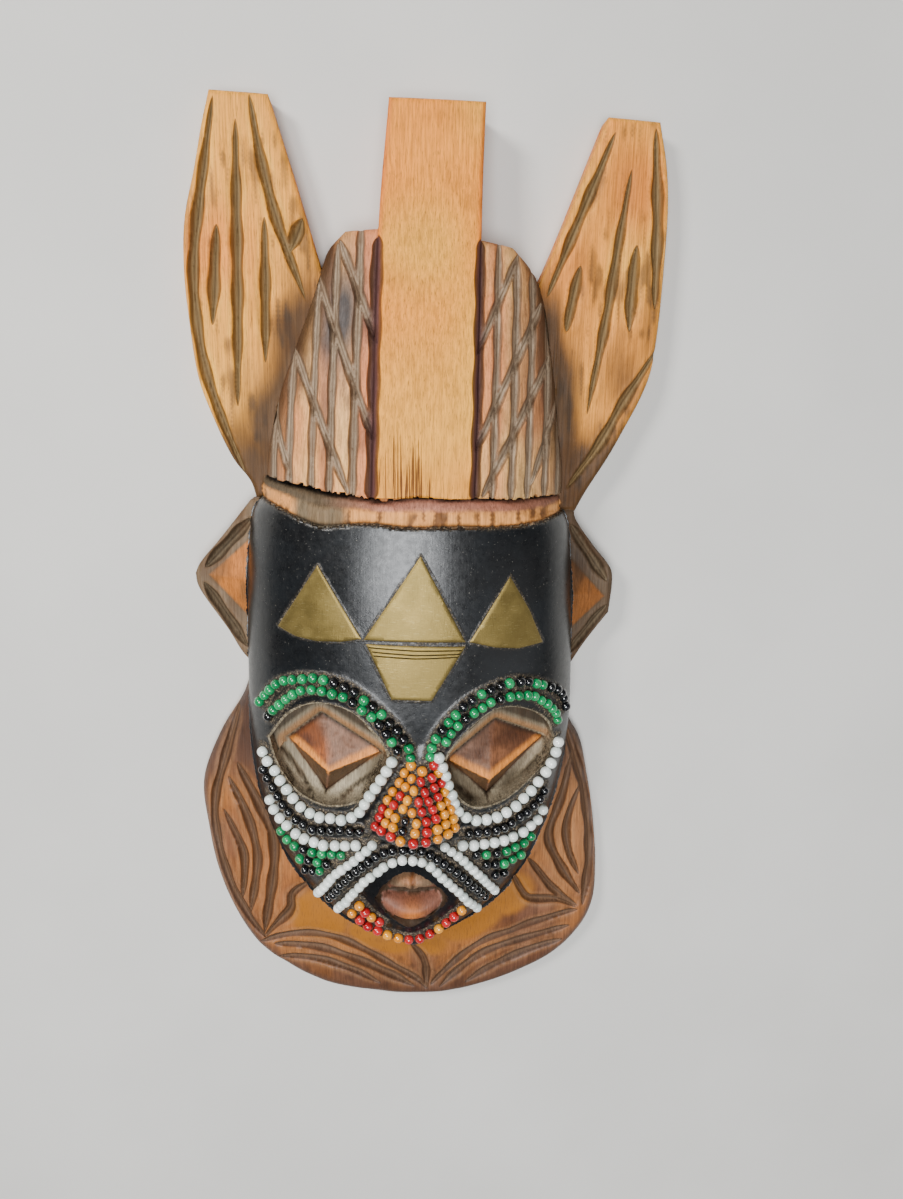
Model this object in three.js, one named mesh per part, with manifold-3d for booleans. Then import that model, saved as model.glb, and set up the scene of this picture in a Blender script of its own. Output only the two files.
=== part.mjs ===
// A carved wooden mask with two horns and a centre bar, lying on its flat back.
// Millimetres. X runs across the face, Y from the collar up to the horns, Z out of the face.
// Plan points are [x, y]: x from the middle of the mask, y up from near the collar's lowest edge.

import * as THREE from 'three';
import { mergeVertices } from 'three/addons/utils/BufferGeometryUtils.js';
import Module from 'manifold-3d';

// Driving dimensions
const HORN_TIP = 365; // plan y of the longer horn's tip
const COLLAR_LOW = -1.8; // plan y of the collar's lowest edge
const COLLAR_LEFT = -90.4; // plan x of the collar's widest point
const HORN_RIGHT = 89.8; // plan x of the right horn's widest point
const HORN_THICKNESS = 12;
const EAR_THICKNESS = 12;
const DOME_EDGE = 10; // height at which the face leaves its upright side wall
const BAND_DEPTH = 4; // sinking of the band between the face and the hairline
const COLLAR_RIM = 8;
const COLLAR_AT_FACE = 16;
const BAR_WIDTH = { hairline: 36, capTop: 36, tip: 33.8 };
const HOLLOW = { x: -5, y: 128, halfWidth: 43, halfLength: 76, depth: 20 };
const BEAD = 3.7; // usual bead across
const BIG_BEAD = 4.1; // white beads of the cheeks
const GAP = 0.3; // clearance between touching pieces
const SHEET = 0.6; // brass sheet

const wasm = await Module();
wasm.setup();

// Geometry to manifold solid and back

function toSolid(geometry) {
  const bare = geometry.clone();
  bare.deleteAttribute('normal');
  bare.deleteAttribute('uv');
  const merged = mergeVertices(bare, 1e-4);
  const vertProperties = new Float32Array(merged.attributes.position.array);
  const triVerts = new Uint32Array(merged.index.array);
  return new wasm.Manifold(new wasm.Mesh({ numProp: 3, vertProperties, triVerts }));
}

function toGeometry(solid) {
  const { vertProperties, triVerts } = solid.getMesh();
  const geometry = new THREE.BufferGeometry();
  geometry.setAttribute('position', new THREE.BufferAttribute(vertProperties, 3));
  geometry.setIndex(new THREE.BufferAttribute(triVerts, 1));
  return geometry;
}

const joined = (solids) => solids.reduce((all, solid) => all.add(solid));
const largest = (solid) => solid.decompose().sort((a, b) => b.volume() - a.volume())[0];

// A closed body through rings of points. All rings have one count, or one point for a tip.
function loft(rings) {
  const count = Math.max(...rings.map((ring) => ring.length));
  const starts = rings.map((_, r) => rings.slice(0, r).reduce((sum, ring) => sum + ring.length, 0));
  const corner = (r, i) => starts[r] + (rings[r].length === 1 ? 0 : i % count);
  const index = [];
  for (let r = 0; r + 1 < rings.length; r += 1) {
    for (let i = 0; i < count; i += 1) {
      if (rings[r].length > 1) index.push(corner(r, i), corner(r, i + 1), corner(r + 1, i));
      if (rings[r + 1].length > 1) index.push(corner(r, i + 1), corner(r + 1, i + 1), corner(r + 1, i));
    }
  }
  const last = rings.length - 1;
  for (let i = 1; i + 1 < count; i += 1) {
    if (rings[0].length > 1) index.push(corner(0, 0), corner(0, i + 1), corner(0, i));
    if (rings[last].length > 1) index.push(corner(last, 0), corner(last, i), corner(last, i + 1));
  }
  return outward(rings.flat(), index);
}

// Turns the faces of a closed body so that they all point out.
function outward(points, index) {
  let volume = 0;
  for (let i = 0; i < index.length; i += 3) {
    const [a, b, c] = [points[index[i]], points[index[i + 1]], points[index[i + 2]]];
    volume += a.dot(new THREE.Vector3().crossVectors(b, c));
  }
  const turned = volume < 0 ? index.slice().reverse() : index;
  const geometry = new THREE.BufferGeometry();
  geometry.setAttribute('position', new THREE.Float32BufferAttribute(points.flatMap((p) => p.toArray()), 3));
  geometry.setIndex(turned);
  return geometry;
}

const at = (x, y, z) => new THREE.Vector3(x, y, z);

// Smooth value along y through [y, value] stations
function along(stations) {
  const ys = stations.map(([y]) => y);
  const values = stations.map(([, value]) => value);
  const smooth = new THREE.CubicInterpolant(ys, values, 1, new Float64Array(1));
  return (y) => smooth.evaluate(y)[0];
}

const stepsBetween = (low, high, step) => {
  const count = Math.max(1, Math.round((high - low) / step));
  return Array.from({ length: count + 1 }, (_, i) => low + ((high - low) * i) / count);
};

// Upright slab of a plan outline
function slab(outline, low, high) {
  const shape = new THREE.Shape(outline.map(([x, y]) => new THREE.Vector2(x, y)));
  const geometry = new THREE.ExtrudeGeometry(shape, { depth: high - low, bevelEnabled: false });
  return toSolid(geometry.translate(0, 0, low));
}

// Height of the highest surface of a geometry above a plan point
function surfaceOf(geometry) {
  const position = geometry.attributes.position;
  const index = geometry.index.array;
  const faces = [];
  for (let i = 0; i < index.length; i += 3) {
    const [a, b, c] = [0, 1, 2].map((k) => new THREE.Vector3().fromBufferAttribute(position, index[i + k]));
    const area = (b.x - a.x) * (c.y - a.y) - (c.x - a.x) * (b.y - a.y);
    if (area > 1e-9) faces.push({ a, b, c, area });
  }
  return (x, y) => {
    let top = 0;
    for (const { a, b, c, area } of faces) {
      if (x < Math.min(a.x, b.x, c.x) || x > Math.max(a.x, b.x, c.x)) continue;
      const v = ((x - a.x) * (c.y - a.y) - (c.x - a.x) * (y - a.y)) / area;
      const w = ((b.x - a.x) * (y - a.y) - (x - a.x) * (b.y - a.y)) / area;
      if (v < -1e-6 || w < -1e-6 || v + w > 1 + 1e-6) continue;
      top = Math.max(top, a.z + v * (b.z - a.z) + w * (c.z - a.z));
    }
    return top;
  };
}

// Horns and ears, as plan outlines

const LEFT_HORN = [
  [-77, HORN_TIP], [-56.6, 364.4], [-47, 334.2], [-40, 311], [-30, 280], [-45, 225], [-64.5, 223],
  [-66.5, 229], [-72.8, 237.5], [-80.1, 253.7], [-84.6, 267], [-87.2, 288.1], [-88.2, 305],
  [-87.2, 322.4], [-83.1, 339.6], [-80, 353.8],
];
const RIGHT_HORN = [
  [65.3, 362], [84.6, 361.2], [88, 347.5], [89.6, 334.2], [HORN_RIGHT, 313.5], [88.8, 286], [86.6, 270.5],
  [75.1, 245.4], [64, 226.2], [60.3, 219], [45, 220], [30, 280], [43.5, 306.5],
];
const LEFT_EAR = [
  [-55, 225], [-66.9, 221.9], [-78.9, 206.8], [-87.3, 196.7], [-89, 192.9], [-88.2, 187.9],
  [-77.2, 170.3], [-69.5, 158], [-55, 150],
];
const RIGHT_EAR = [
  [50, 222], [60, 219.5], [60.6, 216.3], [69.4, 204.3], [76.2, 196.1], [77.3, 192], [76.5, 177.6],
  [66.9, 164.2], [60, 153], [50, 150],
];

// Dome of the face and dome of the cap: half ellipses across, standing on upright walls

const faceLeft = along([
  [31.5, -8], [34, -16], [39, -26], [48, -37.5], [60, -48], [78, -58.5], [95, -64.5], [115, -68],
  [134, -69.5], [160, -69.5], [195, -68.5], [212, -67], [219, -65.5], [224, -62],
]);
const faceRight = along([
  [31.5, 4], [34, 8], [39, 17], [48, 30], [60, 41], [78, 50], [95, 56], [115, 60], [134, 62],
  [160, 61.5], [195, 59.5], [212, 58], [219, 55.5], [224, 51],
]);
const faceCrown = along([
  [31.5, 19], [40, 23], [60, 31], [85, 38], [110, 43], [130, 46], [160, 48], [190, 48.5], [224, 47.5],
]);
const capLeft = along([
  [215, -60], [234, -60], [250, -57.5], [265, -53.5], [280, -48], [296, -42], [312, -37],
]);
const capRight = along([
  [215, 54], [234, 54], [250, 52], [265, 50], [280, 47.5], [296, 44.5], [312, 39],
]);
const capCrown = along([[215, 52], [228, 51], [250, 48], [275, 42], [300, 34], [320, 27]]);

const DOME_FACETS = 12; // facets in the half ellipse

function dome(left, right, crown, edge, ys) {
  const ring = (y) => {
    const middle = (left(y) + right(y)) / 2;
    const reach = (right(y) - left(y)) / 2;
    const arc = stepsBetween(0, Math.PI, Math.PI / DOME_FACETS).map((angle) =>
      at(middle + reach * Math.cos(angle), y, edge + (crown(y) - edge) * Math.sin(angle)));
    return [at(left(y), y, 0), ...arc.reverse(), at(right(y), y, 0)];
  };
  return toSolid(loft(ys.map(ring)));
}

const faceRows = [31.5, 33, 36, 40, 45, 51, ...stepsBetween(60, 224, 13.5)];
const faceDome = dome(faceLeft, faceRight, faceCrown, DOME_EDGE, faceRows);
const capDome = dome(capLeft, capRight, capCrown, DOME_EDGE, stepsBetween(219, 320, 17));

// Hairline: the cap ends in a ledge over a sunken band, and the face rises again below it

const HAIRLINE = [
  [-75, 236], [-58.6, 231.6], [-36, 229], [-24, 227.3], [0, 227.8], [52, 226.8], [75, 227],
];
const BAND_FOOT = [
  [-75, 226], [-58, 222.8], [-46, 218.4], [-30, 216.9], [13, 217], [42, 217.5], [52, 219.5], [75, 221],
];
const CAP_TOP = [
  [75, 280], [41.8, 305], [36.5, 310], [30.5, 314.8], [17, 316.5], [-18, 319], [-29.4, 318.6],
  [-34.6, 314.2], [-39.5, 309], [-75, 280],
];
const aboveHairline = slab([...HAIRLINE, ...CAP_TOP], -1, 70);
const belowBand = slab([...BAND_FOOT, [75, 20], [-75, 20]], -1, 70);
const bandCrown = (y) => faceCrown(y) - BAND_DEPTH * THREE.MathUtils.smoothstep(y, 212, 222);
const bandDome = dome(faceLeft, faceRight, bandCrown, DOME_EDGE - 1, stepsBetween(206, 224, 6))
  .add(dome(capLeft, capRight, () => bandCrown(224), DOME_EDGE - 1, stepsBetween(218, 240, 11)));

// Centre bar: follows the cap's crown, then runs on free between the horns

const BAR_FOOT = 227.6;
const BAR_TIP = 362.4;
const barMiddle = along([[BAR_FOOT, -1.8], [320, 0.4], [BAR_TIP, 2.7]]);
const barWidth = along([
  [BAR_FOOT, BAR_WIDTH.hairline], [320, BAR_WIDTH.capTop], [BAR_TIP, BAR_WIDTH.tip],
]);
const barHalf = (y) => barWidth(y) / 2;
const barFront = along([
  [BAR_FOOT, 52.4], [250, 49.2], [275, 43.2], [300, 35.4], [320, 28.6], [340, 23.6], [BAR_TIP, 21],
]);
const BAR_CHAMFER = 1;
const BAR_CREST = 0.3; // how far the front is rounded up along its middle
function bar() {
  const ring = (y) => {
    const [low, high, top] = [barMiddle(y) - barHalf(y), barMiddle(y) + barHalf(y), barFront(y)];
    return [
      at(low, y, 0), at(low, y, top - BAR_CHAMFER), at(low + BAR_CHAMFER, y, top),
      at(barMiddle(y), y, top + BAR_CREST),
      at(high - BAR_CHAMFER, y, top), at(high, y, top - BAR_CHAMFER), at(high, y, 0),
    ];
  };
  return toSolid(loft(stepsBetween(BAR_FOOT, BAR_TIP, 16).map(ring)));
}

// Collar: a broad carved beard that slopes from the face down to its rim

const COLLAR_RIM_LINE = new THREE.CatmullRomCurve3([
  [-66, 172], [-71.8, 144.1], [-83.4, 123.7], [COLLAR_LEFT, 104], [-89.4, 82.9], [-85.7, 61.4], [-79, 42.2],
  [-69, 25.4], [-57, 15.2], [-41, 5.6], [-17.4, -0.2], [6.2, COLLAR_LOW], [22.5, -0.1], [47.8, 8.8],
  [63.6, 18.6], [74, 31], [78.6, 43.6], [79, 62.8], [76, 88], [72.8, 104.4], [68.7, 120.6],
  [62.1, 133.3], [60, 160],
].map(([x, y]) => at(x, y, 0)));
const COLLAR_INNER_LINE = new THREE.CatmullRomCurve3([
  [-60, 172], [-62, 130], [-58, 92], [-42, 62], [-18, 44], [-4, 40], [12, 45], [34, 62], [50, 92],
  [55, 130], [56, 160],
].map(([x, y]) => at(x, y, 0)));
function collar() {
  const rings = stepsBetween(0, 1, 1 / 28).map((t) => {
    const rim = COLLAR_RIM_LINE.getPointAt(t);
    const inner = COLLAR_INNER_LINE.getPointAt(t);
    const shoulder = rim.clone().lerp(inner, 0.06);
    return [at(rim.x, rim.y, 0), at(rim.x, rim.y, COLLAR_RIM - 1.5), at(shoulder.x, shoulder.y, COLLAR_RIM),
      at(inner.x, inner.y, COLLAR_AT_FACE), at(inner.x, inner.y, 0)];
  });
  return toSolid(loft(rings));
}

// Hollow scooped out of the back

function hollow() {
  const sides = 16;
  const outline = (scale, z) => Array.from({ length: sides }, (_, i) => {
    const angle = (i / sides) * 2 * Math.PI;
    const round = (value) => Math.sign(value) * Math.abs(value) ** (2 / 3);
    return at(
      HOLLOW.x + HOLLOW.halfWidth * scale * round(Math.cos(angle)),
      HOLLOW.y + HOLLOW.halfLength * scale * round(Math.sin(angle)),
      z,
    );
  });
  const rings = [[1.02, -1], [0.97, HOLLOW.depth * 0.5], [0.86, HOLLOW.depth * 0.85], [0.7, HOLLOW.depth]];
  return toSolid(loft(rings.map(([scale, z]) => outline(scale, z))));
}

// Eye: an almond socket sunk in the face, with a faceted diamond lying in it

const LEFT_EYE = {
  socket: [
    [-60, 131.5], [-50.5, 144.5], [-39.5, 149.5], [-28, 147.5], [-19.5, 140], [-13.5, 129.5],
    [-19.5, 114], [-30, 107.5], [-39, 106.5], [-48.5, 110.5], [-56.5, 121],
  ],
  floor: { outer: 19, inner: 34 },
  diamond: { outer: [-52.8, 128.5], top: [-39.5, 140], inner: [-16.5, 127], bottom: [-38, 108] },
  front: [-36.6, 119.5],
};
const RIGHT_EYE = {
  socket: [
    [52.5, 130.5], [49, 138.5], [40.5, 145], [28.5, 147.5], [17.5, 140.5], [8, 127.5],
    [10.5, 118.5], [14.5, 110], [21, 105.5], [30.5, 106.5], [41, 113], [49.5, 121],
  ],
  floor: { outer: 17, inner: 34 },
  diamond: { outer: [49.8, 127], top: [29, 137], inner: [9.8, 123.5], bottom: [26.3, 106.3] },
  front: [26.4, 115.5],
};
const EYE_RISE = 9; // height of the diamond's front corner above the floor
// Socket outlines as [scale, height above the floor]: narrow at the floor, wide at the rim
const SOCKET_RINGS = [[0.78, 0], [0.97, 4], [1.03, 30]];

// The socket floor is a plane that falls away from the nose.
function floorOf({ socket, floor }) {
  const xs = socket.map(([x]) => x);
  const outer = Math.abs(Math.min(...xs)) > Math.abs(Math.max(...xs)) ? Math.min(...xs) : Math.max(...xs);
  const inner = outer < 0 ? Math.max(...xs) : Math.min(...xs);
  return (x) => THREE.MathUtils.mapLinear(x, outer, inner, floor.outer, floor.inner);
}
function socketCut(eye) {
  const height = floorOf(eye);
  const middle = [0, 1].map((k) => eye.socket.reduce((sum, p) => sum + p[k], 0) / eye.socket.length);
  const inset = (scale, lift) => eye.socket.map(([x, y]) => {
    const [px, py] = [middle[0] + (x - middle[0]) * scale, middle[1] + (y - middle[1]) * scale];
    return at(px, py, height(px) + lift);
  });
  return toSolid(loft(SOCKET_RINGS.map(([scale, lift]) => inset(scale, lift))));
}
function diamond({ diamond: plan, front, ...eye }) {
  const height = floorOf(eye);
  const low = ([x, y]) => at(x, y, height(x) + 1.5);
  const sunk = ([x, y]) => at(x, y, height(x) - 4);
  const corners = [plan.outer, plan.top, plan.inner, plan.bottom];
  const peak = at(front[0], front[1], height(front[0]) + EYE_RISE);
  return toSolid(loft([corners.map(sunk), corners.map(low), [peak]]));
}

// Nose and mouth

const NOSE_SINK = 30;
const NOSE_SECTIONS = [
  { y: 90, half: 12.8, middle: -3, height: 40, side: 37 },
  { y: 94, half: 16, middle: -3, height: 48.5, side: 39 },
  { y: 99, half: 15.2, middle: -2, height: 51, side: 40.5 },
  { y: 110, half: 12, middle: -2, height: 50.2, side: 42.5 },
  { y: 120, half: 8, middle: -1, height: 49.1, side: 44 },
  { y: 134, half: 3.2, middle: -1, height: 46.5, side: 45 },
];
function nose() {
  return toSolid(loft(NOSE_SECTIONS.map(({ y, half, middle, height, side }) => {
    const shoulder = half * 0.45;
    return [
      at(middle - half, y, NOSE_SINK), at(middle - half, y, side),
      at(middle - shoulder, y, height - 1.5), at(middle, y, height), at(middle + shoulder, y, height - 1.5),
      at(middle + half, y, side), at(middle + half, y, NOSE_SINK),
    ];
  })));
}
const MOUTH = {
  outline: [[-19, 61], [-14, 70], [-5.5, 76], [4, 70], [11.5, 59.5], [4.5, 50], [-4, 43.5], [-13, 51]],
  middle: [-3.8, 60],
  floor: 23.5,
  slope: 0.2, // rise of the floor towards the nose
};
function mouthCut() {
  const [mx, my] = MOUTH.middle;
  const ring = (z, scale) => MOUTH.outline.map(([x, y]) =>
    at(mx + (x - mx) * scale, my + (y - my) * scale, z + (y - my) * MOUTH.slope));
  return toSolid(loft([ring(MOUTH.floor, 0.85), ring(MOUTH.floor + 20, 1.1)]));
}
// A lip is a ridge across the mouth, thick in the middle and drawn out to the corners.
function lip({ path, width, rise, base }) {
  const rings = path.map(([x, y], i) => {
    const full = Math.sin((Math.PI * (i + 0.6)) / (path.length + 0.2));
    const half = (width / 2) * full;
    return [at(x, y - half, base - 4), at(x, y - half, base), at(x, y, base + rise * full),
      at(x, y + half, base), at(x, y + half, base - 4)];
  });
  return toSolid(loft(rings));
}
const UPPER_LIP = {
  path: [[-14, 63.5], [-10, 66.5], [-5.5, 68.5], [-3.2, 67.6], [-1, 68.5], [3.5, 66.5], [8, 62.5]],
  width: 8,
  rise: 7,
  base: 25.5,
};
const LOWER_LIP = {
  path: [[-16, 60.5], [-11, 57], [-5, 54.5], [0, 55], [5, 57.5], [9.5, 60]],
  width: 9,
  rise: 6.5,
  base: 24,
};

// The uncut body of wood

function roughBody() {
  const ears = [LEFT_EAR, RIGHT_EAR].map((outline) => slab(outline, 0, EAR_THICKNESS));
  const horns = [LEFT_HORN, RIGHT_HORN].map((outline) => slab(outline, 0, HORN_THICKNESS));
  const cap = capDome.intersect(aboveHairline);
  const face = faceDome.intersect(belowBand);
  const body = joined([face, cap, bandDome, bar(), collar(), ...ears, ...horns, nose()]);
  const carved = body
    .subtract(hollow())
    .subtract(socketCut(LEFT_EYE))
    .subtract(socketCut(RIGHT_EYE))
    .subtract(mouthCut());
  return joined([carved, diamond(LEFT_EYE), diamond(RIGHT_EYE), lip(UPPER_LIP), lip(LOWER_LIP)]);
}

const rough = roughBody();
const surface = surfaceOf(toGeometry(rough));

// Gouge cuts: V-shaped, following the surface, drawn out to a point at both ends

const GOUGE_ENTRY = 6; // length over which the blade sinks in
const GOUGE_LIFT = 1.5; // how far the cutter stands above the wood
function gouge({ path, width, depth, step }) {
  const line = new THREE.CatmullRomCurve3(path.map(([x, y]) => at(x, y, 0)));
  const length = line.getLength();
  const entry = Math.min(0.3, GOUGE_ENTRY / length);
  const rings = [0, ...stepsBetween(entry, 1 - entry, step / length), 1].map((t) => {
    const centre = line.getPointAt(t);
    const level = surface(centre.x, centre.y);
    if (t === 0 || t === 1) return [at(centre.x, centre.y, level + GOUGE_LIFT / 4)];
    const ahead = line.getTangentAt(t);
    const full = 0.6 + 0.4 * Math.sin(Math.PI * t);
    const half = (width / 2) * full * (1 + GOUGE_LIFT / depth);
    const side = (way) => {
      const [x, y] = [centre.x - ahead.y * half * way, centre.y + ahead.x * half * way];
      const edge = surface(x, y) || level;
      return at(x, y, THREE.MathUtils.clamp(edge, level - 4, level + 4) + GOUGE_LIFT);
    };
    return [side(1), at(centre.x, centre.y, level - depth * full), side(-1)];
  });
  return toSolid(loft(rings));
}

const HORN_GOUGES = [
  [[-75.5, 363], [-79.7, 340], [-83.5, 317], [-84.8, 300], [-82.6, 274], [-77, 254], [-68, 231]],
  [[-68, 356], [-68.6, 329], [-69, 305], [-70.3, 257]],
  [[-75.8, 321], [-77.3, 303.5], [-78.5, 286]],
  [[-58.8, 324], [-59.1, 299], [-59.6, 273]],
  [[-63, 364], [-60, 345.6], [-54.6, 323.6], [-44.5, 296]],
  [[-45.3, 324], [-50, 312.5]],
  [[68, 357], [59, 333.7], [45.5, 299.5]],
  [[74.9, 345], [71.9, 319.7], [68.4, 290.7], [63, 256.5]],
  [[78.6, 319], [78, 303], [77.6, 287.5]],
  [[83, 359], [86, 328.5], [87, 296]],
  [[89.4, 282], [77, 261], [68.4, 244.7], [56.5, 228]],
  [[57.6, 311], [55.3, 298.7], [53.3, 287]],
].map((path) => ({ path, width: 3.6, depth: 1.7, step: 32 }));

// Flutes of the cap run up from the hairline. Each leans out a little and ends at the cap's side.
const CAP_LEAN = 0.03;
const LEFT_FLUTES = [[-26.6, 321], [-34.8, 315], [-41.4, 304], [-50, 279], [-56.5, 262]];
const RIGHT_FLUTES = [[22.6, 317], [29.8, 313], [36.2, 310], [43.6, 301], [50, 275]];
const FLUTE_FOOT = 225;
const capFlutes = [...LEFT_FLUTES, ...RIGHT_FLUTES].map(([x, top]) => ({
  path: [[x, FLUTE_FOOT], [x + CAP_LEAN * (top - FLUTE_FOOT), top]],
  width: 3.2,
  depth: 1.6,
  step: 45,
}));
const CAP_DIAGONALS = [
  [[-31.5, 316], [-17.7, 279]], [[-40.5, 306], [-29.1, 274.4], [-18.5, 246]], [[-48, 278], [-27.8, 228]],
  [[-57.2, 257], [-48.6, 231.5]], [[33, 313], [16.3, 276]], [[42.5, 297], [28.1, 268.2], [16.2, 243.5]],
  [[46.5, 278], [40.6, 267.7], [18.8, 227.5]], [[49.5, 262], [37.6, 231]],
].map((path) => ({ path, width: 3.4, depth: 1.6, step: 40 }));
const BAR_CHANNELS = [-1, 1].map((way) => ({
  path: [226, 250, 280, 300, 318].map((y) => [barMiddle(y) + way * barHalf(y), y]),
  width: 3.4,
  depth: 3.2,
  step: 24,
}));

const COLLAR_GOUGES = [
  [[-74, 138], [-78, 124], [-81.8, 111], [-85.2, 98], [-85.8, 82], [-79.8, 54.5], [-72.9, 40], [-66.5, 30]],
  [[-75.5, 114], [-68.2, 99], [-62, 84], [-61, 72.8], [-62.2, 60.7], [-67, 32]],
  [[-79.4, 107.5], [-71.9, 90], [-68.3, 71.5], [-69.5, 60], [-72.8, 42]],
  [[-82, 92.5], [-74.4, 73], [-74.2, 63.5], [-76, 49]],
  [[-46, 61], [-54.1, 53.4], [-55.1, 46], [-62.1, 36.6], [-66.9, 30]],
  [[-69, 28], [-52.7, 33.3], [-38.8, 32.9], [-27.5, 28], [-13.5, 18.2], [0.8, 7], [4.5, 2]],
  [[-63, 27], [-44.4, 26.2], [-30.7, 21.6], [-13.5, 11.9], [-1, 3.6]],
  [[-61, 20.6], [-44.6, 19.8], [-30.8, 14.8], [-16, 6]],
  [[-3.5, 30], [2.9, 19], [4.6, 2]],
  [[71.5, 40.5], [51, 36.2], [41, 32.5], [30.8, 28.8], [23.3, 24], [13.3, 13.3], [6, 4]],
  [[68.5, 32.5], [51.6, 28.5], [36.4, 24.5], [26.2, 19.2], [16.1, 9.4], [10, 2.5]],
  [[65.5, 25.3], [47.2, 19.9], [32.9, 12.7], [21.5, 4.5]],
  [[60.8, 129], [67.5, 110], [71.2, 98], [74.2, 80], [75.4, 63], [73.4, 42]],
  [[64.6, 116], [60.2, 95], [55.8, 79], [61.7, 64], [72, 48]],
  [[69.2, 101], [64.7, 88.4], [63.7, 81], [65.6, 70], [70.8, 58]],
  [[46.5, 70], [52.9, 61], [59.5, 52], [71, 42.2]],
  [[39.5, 64], [45.1, 53], [47.9, 49.5], [62.2, 46.2], [70.5, 41.5]],
].map((path) => ({ path, width: 3, depth: 1.5, step: 28 }));

// Ears: a raised three-sided panel inside a gouged rim
const EAR_PANELS = [
  { corners: [[-84, 192.6], [-62, 212], [-62, 168]], peak: [-62, 191] },
  { corners: [[74.5, 184.5], [54, 206], [54, 164]], peak: [54, 186] },
];
const EAR_PANEL_RISE = 6;
const earPanel = ({ corners, peak }) => toSolid(loft([
  corners.map(([x, y]) => at(x, y, EAR_THICKNESS - 2)),
  corners.map(([x, y]) => at(x, y, EAR_THICKNESS + 0.2)),
  [at(peak[0], peak[1], EAR_THICKNESS + EAR_PANEL_RISE)],
]));
const EAR_GOUGES = [
  [[-66.5, 215], [-85, 195.3]], [[-85.8, 189.5], [-69.5, 163]],
  [[58.5, 214], [75.2, 190.5]], [[75.6, 181], [60, 160]],
].map((path) => ({ path, width: 3.4, depth: 1.8, step: 20 }));

const gouges = [
  ...HORN_GOUGES, ...capFlutes, ...CAP_DIAGONALS, ...BAR_CHANNELS, ...COLLAR_GOUGES, ...EAR_GOUGES,
];
const gouged = joined([rough, ...EAR_PANELS.map(earPanel)]).subtract(joined(gouges.map(gouge)));
const SLIVER = 0.08; // facets thinner than this are merged away
const carvedBody = largest(gouged.simplify(SLIVER)); // without the chips that the gouges cut free

// Brass sheet laid on the forehead, following its curve

const PLATES = {
  brass_plate_left: [[-39.2, 202.2], [-54.7, 177.7], [-48, 175], [-40, 174], [-31, 174.5], [-23.4, 176]],
  brass_plate_centre: [[-2.4, 206.8], [-22.6, 175.8], [14.4, 174.8]],
  brass_plate_lower: [[-21.8, 174.2], [14.4, 173.2], [2.3, 152.6], [-12.5, 153.1]],
  brass_plate_right: [[30.7, 198.5], [16, 174.8], [26, 172], [35, 170.8], [45.1, 171.7], [39, 185]],
};
const raisedFace = (height) => faceDome.translate([0, 0, height]);
const plateSolid = (outline) =>
  slab(outline, 20, 60).intersect(raisedFace(GAP + SHEET)).subtract(raisedFace(GAP));

// A row of beads: a fused string that is wide at each bead and narrow between two, cut to sit on the wood

const raisedWood = rough.translate([0, 0, GAP / 2]);
function beadRow(path, across = BEAD) {
  const line = new THREE.CatmullRomCurve3(path.map(([x, y]) => at(x, y, surface(x, y))));
  const count = Math.max(1, Math.round(line.getLength() / across));
  const ring = (t, size) => {
    const centre = line.getPointAt(t);
    const ahead = line.getTangentAt(t).setZ(0).normalize();
    const half = (across / 2) * size;
    const under = stepsBetween(-1, 1, 0.5).map((k) => {
      const [x, y] = [centre.x - ahead.y * half * k, centre.y + ahead.x * half * k];
      const near = [-1, 0, 1].map((way) => (way * across) / 4);
      return at(x, y, Math.max(...near.map((d) => surface(x + ahead.x * d, y + ahead.y * d))) + GAP);
    });
    const [low, middle, high] = [under[0], under[2], under[4]];
    if (size === 0) return [at(centre.x, centre.y, middle.z + 0.8)];
    const lift = Math.max(...under.map((p, i) => p.z - THREE.MathUtils.lerp(low.z, high.z, i / 4)));
    low.z += lift;
    high.z += lift;
    const crest = Math.max(middle.z, (low.z + high.z) / 2) + across * 0.85 * size;
    return [low, at(centre.x, centre.y, crest), high];
  };
  const rings = [ring(0, 0)];
  for (let bead = 0; bead < count; bead += 1) {
    rings.push(ring((bead + 0.5) / count, 0.94));
    rings.push(ring((bead + 1) / count, bead + 1 === count ? 0 : 0.55));
  }
  return largest(toSolid(loft(rings)).subtract(raisedWood));
}

// Rows of beads by colour, each from its outer end
const GREEN_ROWS = {
  brow_left_upper: [[-62.8, 144.5], [-55.9, 154.2], [-46.3, 159], [-31.7, 158.7], [-17.4, 149], [-5.9, 134.3],
    [-4.6, 128]],
  brow_left_lower: [[-59.6, 139.6], [-54.1, 147.1], [-45.2, 154.4], [-31.3, 154.2], [-17.8, 144.6],
    [-9.2, 131]],
  brow_right_upper: [[1.2, 128.5], [4.1, 138], [16.6, 152], [31.9, 157.9], [45, 154.8], [54.5, 148],
    [56.6, 140.5]],
  brow_right_lower: [[6.6, 134.8], [12.3, 143], [26.8, 151.8], [40.4, 151.4], [50, 143.5], [53.6, 136.5]],
  cheek_left_green_1: [[-56.7, 91.5], [-53.3, 86.4], [-49.6, 84], [-44.2, 83.8], [-29.5, 84.6]],
  cheek_left_green_2: [[-50, 78], [-42.7, 78.6], [-35.6, 79.2]],
  cheek_left_green_3: [[-47.6, 72.6], [-38.6, 74.4]],
  cheek_right_green_1: [[20, 83.8], [26.5, 82.6], [35.1, 82.3], [42.7, 84], [46.6, 87.4]],
  cheek_right_green_2: [[24, 78], [29, 76.9], [33.7, 75.8], [43, 77.8]],
  cheek_right_green_3: [[28.5, 70.8], [36, 70]],
};
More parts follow.
